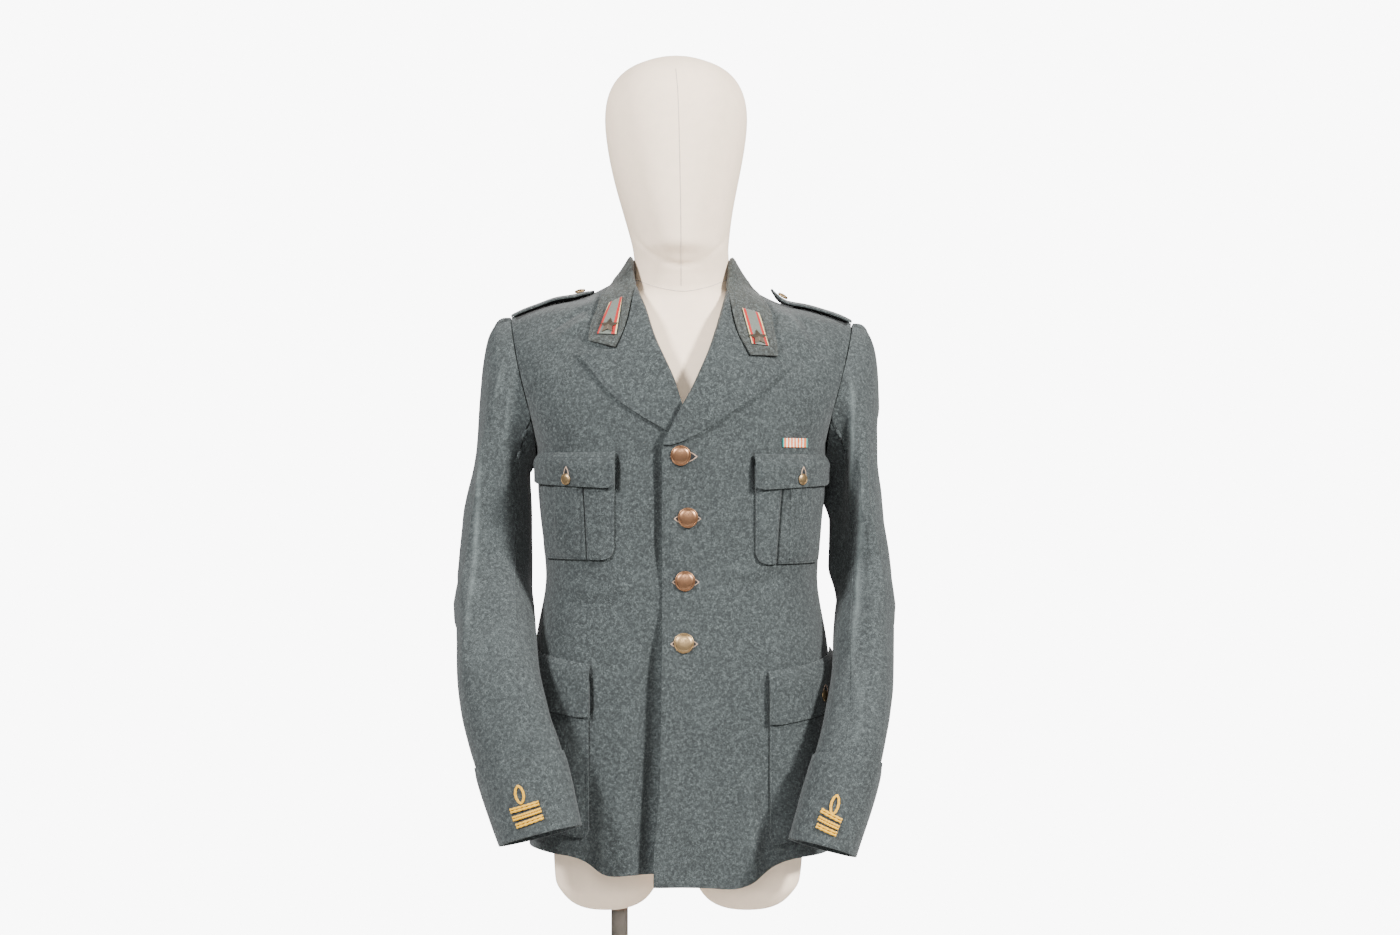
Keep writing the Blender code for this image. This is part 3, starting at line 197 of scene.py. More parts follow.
def linen():
    """Tightly stretched plain-weave linen over padding: warm, matt, with slubs. The threads are
    drawn 2 mm apart, about four times the real spacing, so that they show."""
    look = bpy.context.scene.tunic_colours
    made, tree, place = new_material("Cream linen, plain weave")
    threads = [add(tree, "TexWave", {"Vector": place, "Scale": 160, "Distortion": 1.2,
                                     "Detail": 1}, 1, wave_type="BANDS", bands_direction=way)
               for way in ("X", "Z")]
    weave = add(tree, "Math", {0: threads[0], 1: threads[1]}, operation="MAXIMUM")
    slubs = add(tree, "TexNoise", {"Vector": place, "Scale": 90, "Detail": 3})
    soil = add(tree, "TexNoise", {"Vector": place, "Scale": 9, "Detail": 3})
    tone = add(tree, "MapRange", {"Value": slubs, **NOISE, 3: 0.97, 4: 1.02})
    aged = add(tree, "MapRange", {"Value": soil, 1: 0.35, 2: 0.75, 3: 1.0, 4: 0.95})
    both = add(tree, "Math", {0: tone, 1: aged}, operation="MULTIPLY")
    tint = add(tree, "VectorMath", {0: look.linen[:], "Scale": both}, operation="SCALE")
    bump = add(tree, "Bump", {"Height": weave, "Strength": 0.12, "Distance": 0.3 * MM})
    finish_material(tree, {"Base Color": tint, "Roughness": 0.85, "Normal": bump,
                           "Specular IOR Level": 0.3})
    return made


def worn_metal(name, base, roughness, scratch=0.5):
    """Plated or turned sheet metal, satin from handling: tarnish in patches a few millimetres
    wide, hairline scratches, and a duller, darker film where fingers don't reach."""
    made, tree, place = new_material(name)
    film = add(tree, "TexNoise", {"Vector": place, "Scale": 300, "Detail": 5})
    drawn = add(tree, "Mapping", {"Vector": place, "Rotation": (0.3, 0.9, 0.2),
                                  "Scale": (2600, 120, 700)})
    lines = add(tree, "TexNoise", {"Vector": drawn, "Scale": 1.0, "Detail": 2})
    tone = add(tree, "MapRange", {"Value": film, **NOISE, 3: 0.78, 4: 1.12})
    tint = add(tree, "VectorMath", {0: base[:], "Scale": tone}, operation="SCALE")
    dull = add(tree, "MapRange", {"Value": film, **NOISE, 3: roughness + 0.12,
                                  4: roughness - 0.06})
    bump = add(tree, "Bump", {"Height": lines, "Strength": 0.1 * scratch, "Distance": 0.1 * MM})
    finish_material(tree, {"Base Color": tint, "Metallic": 0.9, "Roughness": dull,
                           "Normal": bump})
    return made


def thread(name, base, scale=900, sheen=0.0, roughness=0.8):
    """Spun thread: fine twist across each strand."""
    made, tree, place = new_material(name)
    grain = add(tree, "TexNoise", {"Vector": place, "Scale": scale, "Detail": 2})
    tone = add(tree, "MapRange", {"Value": grain, **NOISE, 3: 0.75, 4: 1.2})
    tint = add(tree, "VectorMath", {0: base[:], "Scale": tone}, operation="SCALE")
    bump = add(tree, "Bump", {"Height": grain, "Strength": 0.4, "Distance": 0.3 * MM})
    finish_material(tree, {"Base Color": tint, "Roughness": roughness, "Normal": bump,
                           "Sheen Weight": sheen})
    return made


def striped(name, bands):
    """Woven silk ribbon in stripes: (where each starts, colour) across its width, from the UV
    map, each edge a little uneven as threads cross, with fine ribs across the stripes."""
    blur = 0.012      # how far the edges wander, as a share of the width
    made, tree, place = new_material(name)
    uv = add(tree, "TexCoord", out="UV")
    wander = add(tree, "TexNoise", {"Vector": place, "Scale": 700, "Detail": 2})
    shaken = add(tree, "MapRange", {"Value": wander, **NOISE, 3: -blur, 4: blur})
    across = add(tree, "Math", {0: add(tree, "SeparateXYZ", {0: uv}, "X"), 1: shaken},
                 operation="ADD")
    ramp = add(tree, "ValToRGB", {0: across})
    ramp.node.color_ramp.interpolation = "CONSTANT"
    stops = ramp.node.color_ramp.elements
    stops.remove(stops[1])
    stops[0].color = rgba(linear(bands[0][1]))
    for start, code in bands[1:]:
        stops.new(start).color = rgba(linear(code))
    ribs = add(tree, "TexWave", {"Vector": uv, "Scale": 14, "Distortion": 0.6}, 1,
               wave_type="BANDS", bands_direction="Y")
    fade = add(tree, "MapRange", {"Value": wander, **NOISE, 3: 0.82, 4: 1.1})
    tint = add(tree, "VectorMath", {0: ramp, "Scale": fade}, operation="SCALE")
    bump = add(tree, "Bump", {"Height": ribs, "Strength": 0.3, "Distance": 0.2 * MM})
    finish_material(tree, {"Base Color": tint, "Roughness": 0.6, "Normal": bump,
                           "Sheen Weight": 0.1})
    return made


def brushed_steel():
    """Dark patinated steel tube: brushed lengthways, with a satin shine and a little bloom."""
    look = bpy.context.scene.tunic_colours
    made, tree, place = new_material("Dark brushed steel")
    drawn = add(tree, "Mapping", {"Vector": place, "Scale": (900, 900, 14)})
    lines = add(tree, "TexNoise", {"Vector": drawn, "Scale": 1.0, "Detail": 3})
    bloom = add(tree, "TexNoise", {"Vector": place, "Scale": 40, "Detail": 4})
    tone = add(tree, "MapRange", {"Value": bloom, **NOISE, 3: 0.75, 4: 1.15})
    tint = add(tree, "VectorMath", {0: look.steel[:], "Scale": tone}, operation="SCALE")
    dull = add(tree, "MapRange", {"Value": lines, **NOISE, 3: 0.28, 4: 0.46})
    bump = add(tree, "Bump", {"Height": lines, "Strength": 0.08, "Distance": 0.1 * MM})
    finish_material(tree, {"Base Color": tint, "Metallic": 1.0, "Roughness": dull,
                           "Normal": bump})
    return made


# ------------------------------------------------------------------ making and placing pieces

def keep(name, mesh, finish, stands_for=(), smooth=True):
    """A finished piece: it rides on the body, and stands for the frame's nodes it replaces."""
    made = bpy.data.objects.new(name, mesh)
    bpy.context.scene.collection.objects.link(made)
    mesh.materials.clear()
    mesh.materials.append(finish)
    if smooth:
        mesh.shade_smooth()
        mesh.set_sharp_from_angle(angle=RIM_ANGLE)
    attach(made, BODY)
    if stands_for:
        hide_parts(*stands_for)
    return made


def mesh_from(name, bm):
    """A mesh of what was built, which is let go."""
    mesh = bpy.data.meshes.new(name)
    bm.to_mesh(mesh)
    bm.free()
    return mesh


def points_of(mesh):
    """A mesh's points as rows of three."""
    flat = np.zeros(len(mesh.vertices) * 3, np.float32)
    mesh.vertices.foreach_get("co", flat)
    return flat.reshape(-1, 3).astype(float)


def set_points(mesh, points):
    """Moves a mesh's points to these."""
    mesh.vertices.foreach_set("co", points.astype(np.float32).ravel())
    mesh.update()


def merged(node):
    """A frame node's mesh as joined faces instead of loose triangles."""
    bm = bmesh.new()
    bm.from_mesh(NODES[node].data)
    bmesh.ops.remove_doubles(bm, verts=bm.verts, dist=0.01 * MM)
    bmesh.ops.join_triangles(bm, faces=bm.faces, angle_face_threshold=math.radians(60),
                             angle_shape_threshold=math.radians(120))
    return bm


def refined(node, level):
    """A node's mesh made finer, on a smooth surface that still passes through its points."""
    bm = merged(node)
    crease = bm.edges.layers.float.new("crease_edge")
    for edge in bm.edges:
        if edge.is_manifold and edge.calc_face_angle() > RIM_ANGLE:
            edge[crease] = 1.0
    mesh = mesh_from(node + "_cage", bm)
    cage = bpy.data.objects.new(node + "_cage", mesh)
    bpy.context.scene.collection.objects.link(cage)
    finer = cage.modifiers.new("Finer", "SUBSURF")
    finer.levels = finer.render_levels = level
    target = points_of(mesh)

    def smoothed():
        bpy.context.view_layer.update()
        return cage.evaluated_get(bpy.context.evaluated_depsgraph_get())
    for _ in range(4):         # each round brings the smooth surface nearer to the points
        reached = points_of(smoothed().data)[:len(target)]
        set_points(mesh, points_of(mesh) + (target - reached))
    fine = bpy.data.meshes.new_from_object(smoothed())
    bpy.data.objects.remove(cage)
    return fine


SLEEVE_LINE = {   # each sleeve's middle line: height, distance from the middle, and y
    -1: ((0.37, 0.153, -0.182), (0.47, 0.183, -0.158), (0.58, 0.2105, -0.094),
         (0.67, 0.219, -0.012), (0.98, 0.205, 0.003)),
    1: ((0.36, 0.156, -0.180), (0.47, 0.190, -0.149), (0.58, 0.211, -0.068),
        (0.67, 0.216, -0.006), (0.98, 0.202, 0.003)),
}


def outward(points, node):
    """Unit vectors away from the wearer at each point of a node."""
    away = points.copy()
    if node.startswith(("sleeve", "cuff")):
        side = 1 if points[:, 0].mean() > 0 else -1
        line = np.array(SLEEVE_LINE[side])
        away[:, 0] -= side * np.interp(points[:, 2], line[:, 0], line[:, 1])
        away[:, 1] -= np.interp(points[:, 2], line[:, 0], line[:, 2])
        away[:, 2] = 0
    else:
        away[:, 2] = np.maximum(points[:, 2] - CHEST, 0)
    return away / (np.linalg.norm(away, axis=1)[:, None] + 1e-9)


VIEWS = {   # where a line is drawn from: the axis that "across" is, and the way of looking
    "front": (0, Vector((0, 1, 0))), "back": (0, Vector((0, -1, 0))),
    "right": (1, Vector((1, 0, 0))), "left": (1, Vector((-1, 0, 0))),
}


def tree_of(*objects):
    """One search tree over several objects' meshes."""
    verts, faces = [], []
    for thing in objects:
        start = len(verts)
        verts += [v.co.copy() for v in thing.data.vertices]
        faces += [[start + i for i in p.vertices] for p in thing.data.polygons]
    return BVHTree.FromPolygons(verts, faces)


def seen_from(tree, view, across, height):
    """The point and normal that show at (across, height) from a side, or the nearest."""
    axis, look = VIEWS[view]
    start = Vector((0, 0, height)) - look * 1.0
    start[axis] = across
    spot, normal, _, _ = tree.ray_cast(start, look)
    if spot is None:      # beside the piece: the nearest point, sought just before the middle
        spot, normal, _, _ = tree.find_nearest(start + look * 0.85)
    return spot, (normal if normal.dot(look) < 0 else -normal)


def smooth_line(corners, step=4 * MM):
    """Evenly spaced points on a soft curve through the corners."""
    corners = np.array(corners, float)
    padded = np.vstack([2 * corners[0] - corners[1], corners, 2 * corners[-1] - corners[-2]])
    found = []
    for i in range(1, len(padded) - 2):
        p0, p1, p2, p3 = padded[i - 1:i + 3]
        count = max(2, int(np.linalg.norm(p2 - p1) / step))
        for t in np.arange(count) / count:
            found.append(0.5 * (2 * p1 + (p2 - p0) * t + (2 * p0 - 5 * p1 + 4 * p2 - p3) * t * t
                                + (3 * p1 - p0 - 3 * p2 + p3) * t ** 3))
    return np.array(found + [corners[-1]])


# ------------------------------------------------------------------ folds

# pieces it moves and the side it is drawn from; then for each fold its half width and height in
# mm (below 0 a trough), how far its ridge is made pale, partly scuffing and partly painted
# highlight, and its points as (across, height) in mm
FOLDS = (
    # right sleeve, in front: the long pressed ridges
    ("sleeve_right", "front", (
        (6, 3.0, 0.55, (-227, 837), (-232, 792), (-235, 740), (-237, 696), (-239, 637),
         (-242, 578), (-246, 549)),
        (9, -2.0, 0.0, (-218, 820), (-222, 760), (-226, 690), (-229, 620)),
        (4, 1.6, 0.45, (-205, 912), (-213, 874), (-219, 834)),
        (4, 1.4, 0.35, (-198, 878), (-202, 830), (-204, 800)),
        (4, -1.6, 0.0, (-203, 900), (-207, 858), (-211, 815)),
        (10, -2.2, 0.0, (-205, 640), (-222, 610), (-240, 592)),
        (9, 1.8, 0.1, (-198, 610), (-215, 585), (-236, 566)),
        (12, -2.0, 0.0, (-175, 540), (-195, 520), (-222, 500)),
        (9, 1.5, 0.1, (-170, 500), (-190, 470), (-200, 440)),
    )),
    # left sleeve, in front
    ("sleeve_left", "front", (
        (6, 3.2, 0.6, (196, 898), (197, 881), (199, 810), (198, 758), (197, 715)),
        (7, 2.4, 0.5, (208, 792), (208, 706), (205, 664), (202, 627), (197, 587), (189, 552),
         (181, 523)),
        (8, -2.2, 0.0, (189, 860), (190, 790), (188, 720), (186, 650)),
        (8, -1.6, 0.0, (219, 800), (220, 720), (218, 640)),
        (9, -2.0, 0.0, (182, 650), (196, 628), (216, 612)),
        (8, 1.6, 0.15, (186, 590), (204, 604), (222, 616)),
        (10, -1.8, 0.0, (176, 520), (192, 500), (210, 488)),
        (8, 1.4, 0.15, (196, 560), (199, 510), (192, 470)),
    )),
    ("sleeve_left", "right", (
        (20, 14.0, 0.0, (6, 790), (8, 765), (8, 735), (2, 695), (-10, 655), (-20, 622)),
    )),
    # both sleeves, behind and outside: breaks at the elbow
    ("sleeve_right", "right", (
        (8, -1.5, 0.0, (-60, 652), (-20, 640), (22, 646)),
        (7, 1.2, 0.15, (-70, 628), (-30, 615), (10, 622)),
        (8, -1.5, 0.0, (-95, 600), (-55, 585), (-20, 590)),
        (8, 2.0, 0.2, (20, 900), (12, 820), (8, 740), (0, 680)),
    )),
    ("sleeve_right", "back", (
        (9, -2.2, 0.0, (-190, 690), (-215, 672), (-240, 680)),
        (9, 1.8, 0.1, (-190, 655), (-212, 640), (-238, 648)),
    )),
    ("sleeve_left", "left", (
        (8, -1.5, 0.0, (-50, 650), (-12, 640), (28, 648)),
        (7, 1.2, 0.15, (-58, 624), (-20, 612), (16, 620)),
        (8, -1.5, 0.0, (-80, 598), (-45, 584), (-10, 590)),
        (8, 2.0, 0.2, (24, 890), (16, 815), (10, 740), (4, 680)),
    )),
    ("sleeve_left", "back", (
        (9, -2.2, 0.0, (188, 690), (212, 672), (236, 680)),
        (9, 1.8, 0.1, (188, 655), (210, 640), (234, 648)),
    )),
    # shoulders
    ("body", "front", (
        (5, -2.8, 0.0, (-105, 967), (-122, 958), (-141, 946), (-157, 933)),
        (6, 2.2, 0.15, (-99, 955), (-118, 945), (-141, 929)),
        (6, -1.6, 0.0, (-108, 938), (-130, 922), (-150, 900)),
        (7, -2.4, 0.0, (96, 978), (110, 952), (113, 914)),
        (6, 2.2, 0.15, (118, 962), (132, 946), (146, 918)),
        (7, -1.6, 0.0, (134, 962), (148, 940), (160, 905)),
    )),
    # beside the lapels' points
    ("front_right", "front", (
        (4, -1.8, 0.0, (-122, 909), (-104, 915), (-80, 918), (-66, 919)),
    )),
    ("front_left", "front", (
        (4, -1.8, 0.0, (129, 893), (112, 903), (92, 911), (74, 914)),
    )),
    # chest and waist
    ("body", "front", (
        (15, -1.3, 0.0, (-60, 802), (-95, 828), (-145, 856)),
        (15, -1.3, 0.0, (50, 812), (95, 836), (142, 862)),
        (9, -1.6, 0.0, (30, 654), (72, 647), (122, 657)),
        (8, 1.3, 0.05, (34, 670), (80, 665), (126, 674)),
        (10, -1.7, 0.0, (-55, 632), (-98, 622), (-146, 634)),
        (8, 1.4, 0.05, (-52, 650), (-95, 642), (-142, 652)),
    )),
    # the overlap below the last button hangs free, and the under front sinks beside it
    ("front_right", "front", (
        (13, -9.5, 0.0, (-25, 630), (-27, 560), (-29, 460), (-33, 400), (-34, 332)),
        (7, -5.0, 0.0, (-22, 830), (-22, 760), (-23, 700), (-24, 640)),
    )),
    ("front_left", "front", (
        (19, 6.5, 0.0, (-16, 610), (-17, 500), (-19, 420), (-26, 322)),
        (11, 3.4, 0.0, (-16, 812), (-16, 740), (-16, 670)),
        (3, -1.8, 0.0, (118, 889), (86, 866), (44, 833), (12, 806)),
    )),
    ("front_right", "front", (
        (3, -1.8, 0.0, (-116, 904), (-86, 880), (-52, 850), (-22, 823)),
    )),
    # cloth that hangs in from under the arm
    ("sleeve_left", "right", (
        (17, 9.0, 0.0, (4, 850), (2, 810), (-2, 760), (-6, 715)),
    )),
    # soft folds above the hem
    ("front_left", "front", (
        (7, 1.6, 0.1, (76, 440), (79, 385), (81, 322)),
        (9, -1.0, 0.0, (90, 450), (93, 390), (95, 338)),
        (14, -2.0, 0.0, (40, 500), (44, 420), (44, 330)),
    )),
    ("front_right", "front", (
        (8, 1.4, 0.1, (-84, 430), (-87, 380), (-87, 330)),
        (9, -1.0, 0.0, (-103, 440), (-106, 390), (-106, 340)),
    )),
    # pocket mouths gape beside their flaps' inner edges
    ("hip_gap_right", "front", (
        (2.6, -5.0, 0.0, (-104, 550), (-102, 528), (-102, 496)),
    )),
    ("hip_gap_left", "front", (
        (1.6, -5.0, 0.0, (108, 552), (109, 524), (109, 488)),
    )),
    ("breast_gap_right", "front", (
        (3.0, -5.0, 0.0, (-73, 796), (-73, 775), (-74, 748)),
    )),
    ("breast_gap_left", "front", (
        (4.0, -5.5, 0.0, (82, 798), (86, 778), (86, 748)),
    )),
)
BACK_FOLDS = (        # the same columns; each has its mirror image on the other side
    (15, -2.6, 0.0, (-74, 820), (-68, 720), (-56, 610)),
    (12, -2.2, 0.0, (-146, 668), (-90, 652), (-20, 660)),
    (10, 1.8, 0.05, (-140, 640), (-80, 626), (-15, 634)),
    (16, 3.4, 0.05, (-44, 540), (-48, 440), (-50, 330)),
    (17, -3.2, 0.0, (-96, 520), (-102, 430), (-104, 330)),
    (12, -2.2, 0.0, (-158, 905), (-128, 862), (-106, 800)),
)
GROUPS = {            # starts of the names that a fold moves, and the nodes that it is drawn on
    "body": (("front_", "lapel", "breast_", "hip_", "collar"), ("front_right", "front_left")),
    "back": (("back_",), ("back_right", "back_left")),
    "front_right": (("front_right", "hip_pocket_right", "hip_flap_right"), ("front_right",)),
    "front_left": (("front_left",), ("front_left",)),
}
for word, _ in SIDES:
    GROUPS[f"sleeve_{word}"] = ((f"sleeve_{word}", f"cuff_{word}"),
                                (f"sleeve_{word}_upper", f"sleeve_{word}_under"))
    for kind in ("hip", "breast"):
        GROUPS[f"{kind}_gap_{word}"] = ((f"front_{word}", f"{kind}_pocket_{word}"),
                                        (f"front_{word}",))
HEM_FOLD = 345        # mm: a fold that goes below this height doesn't fade out at its end
WANDER = ((13, 1.0), (37, 0.45))      # the cloth's unevenness: waves per metre and their share


def all_folds():
    """Each fold in turn: group, side, half width, height, how pale its ridge is made (scuffing
    and painted highlight) and points.
    """
    for group, view, folds in FOLDS:
        for fold in folds:
            yield (group, view, *fold)
    for width, height, wear_and_highlight, *corners in BACK_FOLDS:
        for side in (1, -1):
            yield ("back", "back", width, height, wear_and_highlight, *((side * a, h) for a, h in corners))


def laid_folds():
    """Every fold as its points, normals, fade, width, height, pale ridge line (scuffing and
    painted highlight) and what it moves.
    """
    trees = {group: tree_of(*(NODES[n] for n in nodes)) for group, (_, nodes) in GROUPS.items()}
    laid = []
    for group, view, width, height, wear_and_highlight, *corners in all_folds():
        line = smooth_line(np.array(corners) * MM)
        found = [seen_from(trees[group], view, a, h) for a, h in line]
        spots = np.array([spot for spot, _ in found])
        normals = np.array([normal for _, normal in found])
        for _ in range(6):
            normals[1:-1] = (normals[:-2] + 2 * normals[1:-1] + normals[2:]) / 4
        normals /= np.linalg.norm(normals, axis=1)[:, None]
        share = np.linspace(0, 1, len(spots))
        fade = np.minimum(1, np.minimum(share, 1 - share) * 4)      # over a quarter at each end
        if min(h for _, h in corners) < HEM_FOLD:        # it runs out through the hem
            fade = np.minimum(1, share * 4)
        fade = fade * fade * (3 - 2 * fade)
        laid.append((spots, normals, fade, width * MM, height * MM, wear_and_highlight, GROUPS[group][0]))
    return laid


def fold_cloth(name, mesh, folds):
    """Moves a cloth mesh by the folds that reach it, and a little unevenly all over."""
    sizes = bpy.context.scene.tunic_sizes
    points = points_of(mesh)
    moved = np.zeros_like(points)
    pale_wear_and_highlight = np.zeros(len(points))
    for spots, normals, fade, width, height, wear_and_highlight, moves in folds:
        if not name.startswith(moves):
            continue
        reach = 2.4 * width         # beyond this a fold has died out
        near = np.all((points > spots.min(0) - reach) & (points < spots.max(0) + reach), axis=1)
        index = np.nonzero(near)[0]
        if not len(index):
            continue
        apart = np.linalg.norm(points[index, None] - spots[None], axis=2)
        closest = apart.argmin(1)
        apart = apart.min(1)
        share = np.exp(-(apart / width) ** 2) * fade[closest]
        moved[index] += normals[closest] * (share * height * sizes.fold)[:, None]
        # painted highlight: each ridge gets a narrow pale line, partly for scuffing and partly
        # standing for light along the ridge
        speckled_wear_and_highlight = wear_and_highlight * np.exp(-(apart / (0.5 * width)) ** 2) * fade[closest]
        pale_wear_and_highlight[index] = np.maximum(pale_wear_and_highlight[index], speckled_wear_and_highlight)
    away = outward(points, name)
    if name.startswith("cuff"):        # the turned-up edge is pressed flat on the sleeve
        press, width = 2.0 * MM, 7 * MM
        rim = np.array([a for a, _, across in outer_edges(name) if across.z < -0.4])
        to_rim = np.linalg.norm(points[:, None] - rim[None], axis=2).min(1)
        moved -= away * (press * np.exp(-(to_rim / width) ** 2))[:, None]
    wander = np.array([sum(share * noise.noise(Vector(p) * scale) for scale, share in WANDER)
                       for p in points])
    points += moved + away * (wander * sizes.uneven)[:, None]
    set_points(mesh, points)
    attribute = mesh.attributes.new("wear_and_highlight", "FLOAT", "POINT")
    attribute.data.foreach_set("value", pale_wear_and_highlight.astype(np.float32))


def press_pleat(mesh, line, depth):
    """Presses an inverted pleat into a pocket: a narrow fold along a line of two points."""
    top, bottom = (Vector((across, 0, height)) for across, height in line)
    across = (bottom - top).normalized().cross(Vector((0, 1, 0)))
    offs, shares = zip(*PLEAT_SECTION)
    bm = bmesh.new()
    bm.from_mesh(mesh)
    for off in offs:
        bmesh.ops.bisect_plane(bm, geom=bm.verts[:] + bm.edges[:] + bm.faces[:],
                               plane_co=top + across * off * MM, plane_no=across)
    for vert in bm.verts:
        vert.co.y += depth * float(np.interp((vert.co - top).dot(across) / MM, offs, shares))
    bm.to_mesh(mesh)
    bm.free()


# across the pleat: distance from its line in mm, and share of its depth
PLEAT_SECTION = ((-4.0, 0), (-2.2, -0.28), (-0.9, 0.10), (0.0, 1.0), (0.9, 0.62), (2.2, 0.12),
                 (4.0, 0))
PLEATS = {            # each breast pocket's pleat line, as (across, height)
    "right": ((-0.1098, 0.7549), (-0.1059, 0.6740)),
    "left": ((0.1143, 0.7560), (0.1078, 0.6700)),
}


# ------------------------------------------------------------------ sewing

def outer_edges(node):
    """The outer cut edges of a node's wall: (start, end, way to the middle) of each."""
    bm = merged(node)
    found = []
    for edge in bm.edges:
        if not edge.is_manifold or edge.calc_face_angle() < RIM_ANGLE:
            continue
        start, end = (v.co.copy() for v in edge.verts)
        middle = (start + end) / 2
        away = Vector(outward(np.array([middle]), node)[0])
        inner, outer = sorted(edge.link_faces, key=lambda f: f.normal.dot(away))
        if outer.normal.dot(away) < 0.35 or inner.normal.dot(away) > 0.6:
            continue                   # not between the outer face and the cut
        along = (end - start).normalized()
        across = outer.calc_center_median() - middle
        across -= along * across.dot(along)
        if across.length > 1.2 * MM and edge.calc_length() > 1.0 * MM:      # no sliver
            found.append((start, end, across.normalized()))
    bm.free()
    return found


def sew(piece, node, inset, where, finish):
    """A row of machine stitches on a piece, inset from those cut edges where the test holds;
    each stitch is a small rounded bar, sunk a little into the cloth."""
    sizes = bpy.context.scene.tunic_sizes
    edges = outer_edges(node)
    starts = np.array([a for a, _, _ in edges])
    spans = np.array([b - a for a, b, _ in edges])
    lengths = (spans ** 2).sum(1)
    tree = tree_of(piece)
    size = Vector((0.40 * sizes.stitch, sizes.thread, 0.8 * sizes.thread))
    bm = bmesh.new()
    for start, end, across in edges:
        if not where((start + end) / 2):
            continue
        count = max(1, round((end - start).length / sizes.stitch))
        for i in range(count):
            spot = start.lerp(end, (i + 0.5) / count) + across * inset
            share = np.clip(((np.array(spot) - starts) * spans).sum(1) / lengths, 0, 1)
            apart = np.linalg.norm(starts + spans * share[:, None] - np.array(spot), axis=1)
            if apart.min() < 0.9 * inset:      # too near another edge: the row turns a corner
                continue
            away = Vector(outward(np.array([spot]), node)[0])
            there, normal, _, _ = tree.find_nearest(spot + away * 2 * MM)
            if normal.dot(away) < 0:                    # the wall's inner face
                continue
            turn = normal.to_track_quat("Z", "Y").to_matrix().to_4x4()
            local = turn.transposed() @ (end - start).normalized()
            made = bmesh.ops.create_icosphere(bm, subdivisions=1, radius=1.0)["verts"]
            bmesh.ops.scale(bm, vec=size, verts=made)
            spin = math.atan2(local.y, local.x)
            for vert in made:
                x, y, z = vert.co
                turned = Vector((x * math.cos(spin) - y * math.sin(spin),
                                 x * math.sin(spin) + y * math.cos(spin), z))
                vert.co = turn.to_3x3() @ turned + there + normal * 0.12 * MM
    if bm.verts:
        keep(f"stitching_{piece.name}_{round(inset / MM)}", mesh_from("stitching", bm), finish)


def tube(bm, path, normals, radius, around=8, closed=False, plies=0, lay=9 * MM, flat=1.0):
    """Adds a cord along a path of points, its section turned by the normals. Plies are strands
    twisted together, once round in each lay."""
    path, normals = np.array(path, float), np.array(normals, float)
    count = len(path)
    if closed:
        tangents = np.roll(path, -1, 0) - np.roll(path, 1, 0)
    else:
        tangents = np.gradient(path, axis=0)
    tangents /= np.linalg.norm(tangents, axis=1)[:, None]
    sides = np.cross(tangents, normals)
    sides /= np.linalg.norm(sides, axis=1)[:, None]
    ups = np.cross(sides, tangents)
    steps = np.linalg.norm(np.diff(path, axis=0), axis=1)
    run = np.concatenate([[0], np.cumsum(steps)])
    if closed and plies:      # whole turns, so that the twist meets itself
        total = run[-1] + np.linalg.norm(path[0] - path[-1])
        lay = total / max(1, round(total / lay))
    rings = count if closed else count - 1
    radii = np.broadcast_to(radius, count)
    grid = bmesh.new()
    bmesh.ops.create_grid(grid, x_segments=rings, y_segments=around, size=0.5)
    for vert in grid.verts:
        i = round((vert.co.x + 0.5) * rings) % count     # a closed cord's last ring is its first
        angle = 2 * math.pi * (vert.co.y + 0.5)
        swell = radii[i]
        if plies:
            swell *= 1 + 0.16 * math.cos(plies * (angle - 2 * math.pi * run[i] / lay / plies))
        vert.co = Vector(path[i] + sides[i] * math.cos(angle) * swell
                         + ups[i] * math.sin(angle) * swell * flat)
    bmesh.ops.remove_doubles(grid, verts=grid.verts, dist=0.001 * MM)
    if not closed:
        bmesh.ops.holes_fill(grid, edges=[e for e in grid.edges if e.is_boundary], sides=0)
    bmesh.ops.recalc_face_normals(grid, faces=grid.faces)
    mesh = mesh_from("tube", grid)
    bm.from_mesh(mesh)
    bpy.data.meshes.remove(mesh)


def on_piece(tree, view, corners, off, step=1.0 * MM):
    """A soft line drawn from a side onto a surface: points that stand off it, and normals."""
    found = [seen_from(tree, view, a, h) for a, h in smooth_line(corners, step)]
    spots = np.array([spot + normal * off for spot, normal in found])
    return spots, np.array([normal for _, normal in found])


def drawn_on(tree, outline, middle, turn, off, side=1):
    """An outline of points, turned and then drawn from the front onto a surface at a middle:
    points that stand off it, and normals. Side -1 mirrors it."""
    found = [seen_from(tree, "front",
                       side * (middle[0] + a * math.cos(turn) - h * math.sin(turn)),
                       middle[1] + a * math.sin(turn) + h * math.cos(turn)) for a, h in outline]
    return [spot + normal * off for spot, normal in found], [normal for _, normal in found]


# ------------------------------------------------------------------ operators

CLOTH = {}    # each cloth piece by the node that it stands for


def lean_on_neck(mesh):
    """Leans the collar's roll line on to the neck, most in front and not at all behind."""
    points = points_of(mesh)
    near = (np.interp(points[:, 1], (-0.025, 0, 0.02), (1, 0.6, 0))
            * np.interp(points[:, 2], (0.972, 0.995), (0, 1)))
    points[:, 0] += near * np.where(points[:, 0] < 0, 4.0, -5.5) * MM
    set_points(mesh, points)


def make_cloth(node, level, finish, rests_on, pleat=None):
    """A cloth piece on its node's form, with its folds and a soft cut edge. The body's operator
    lays the folds first, in make_cloth.folds."""
    mesh = refined(node, level)
    fold_cloth(node, mesh, make_cloth.folds)
    if pleat:
        press_pleat(mesh, pleat, 3.4 * MM)
    if node == "collar":
        lean_on_neck(mesh)
    piece = keep("cloth_" + node, mesh, finish, (node,))
    soft = piece.modifiers.new("Soft edge", "BEVEL")
    soft.width, soft.segments = 0.45 * MM, 2
    soft.limit_method, soft.angle_limit = "ANGLE", RIM_ANGLE
    soft.use_clamp_overlap = True
    mesh.calc_loop_triangles()
    CLOTH[node] = piece


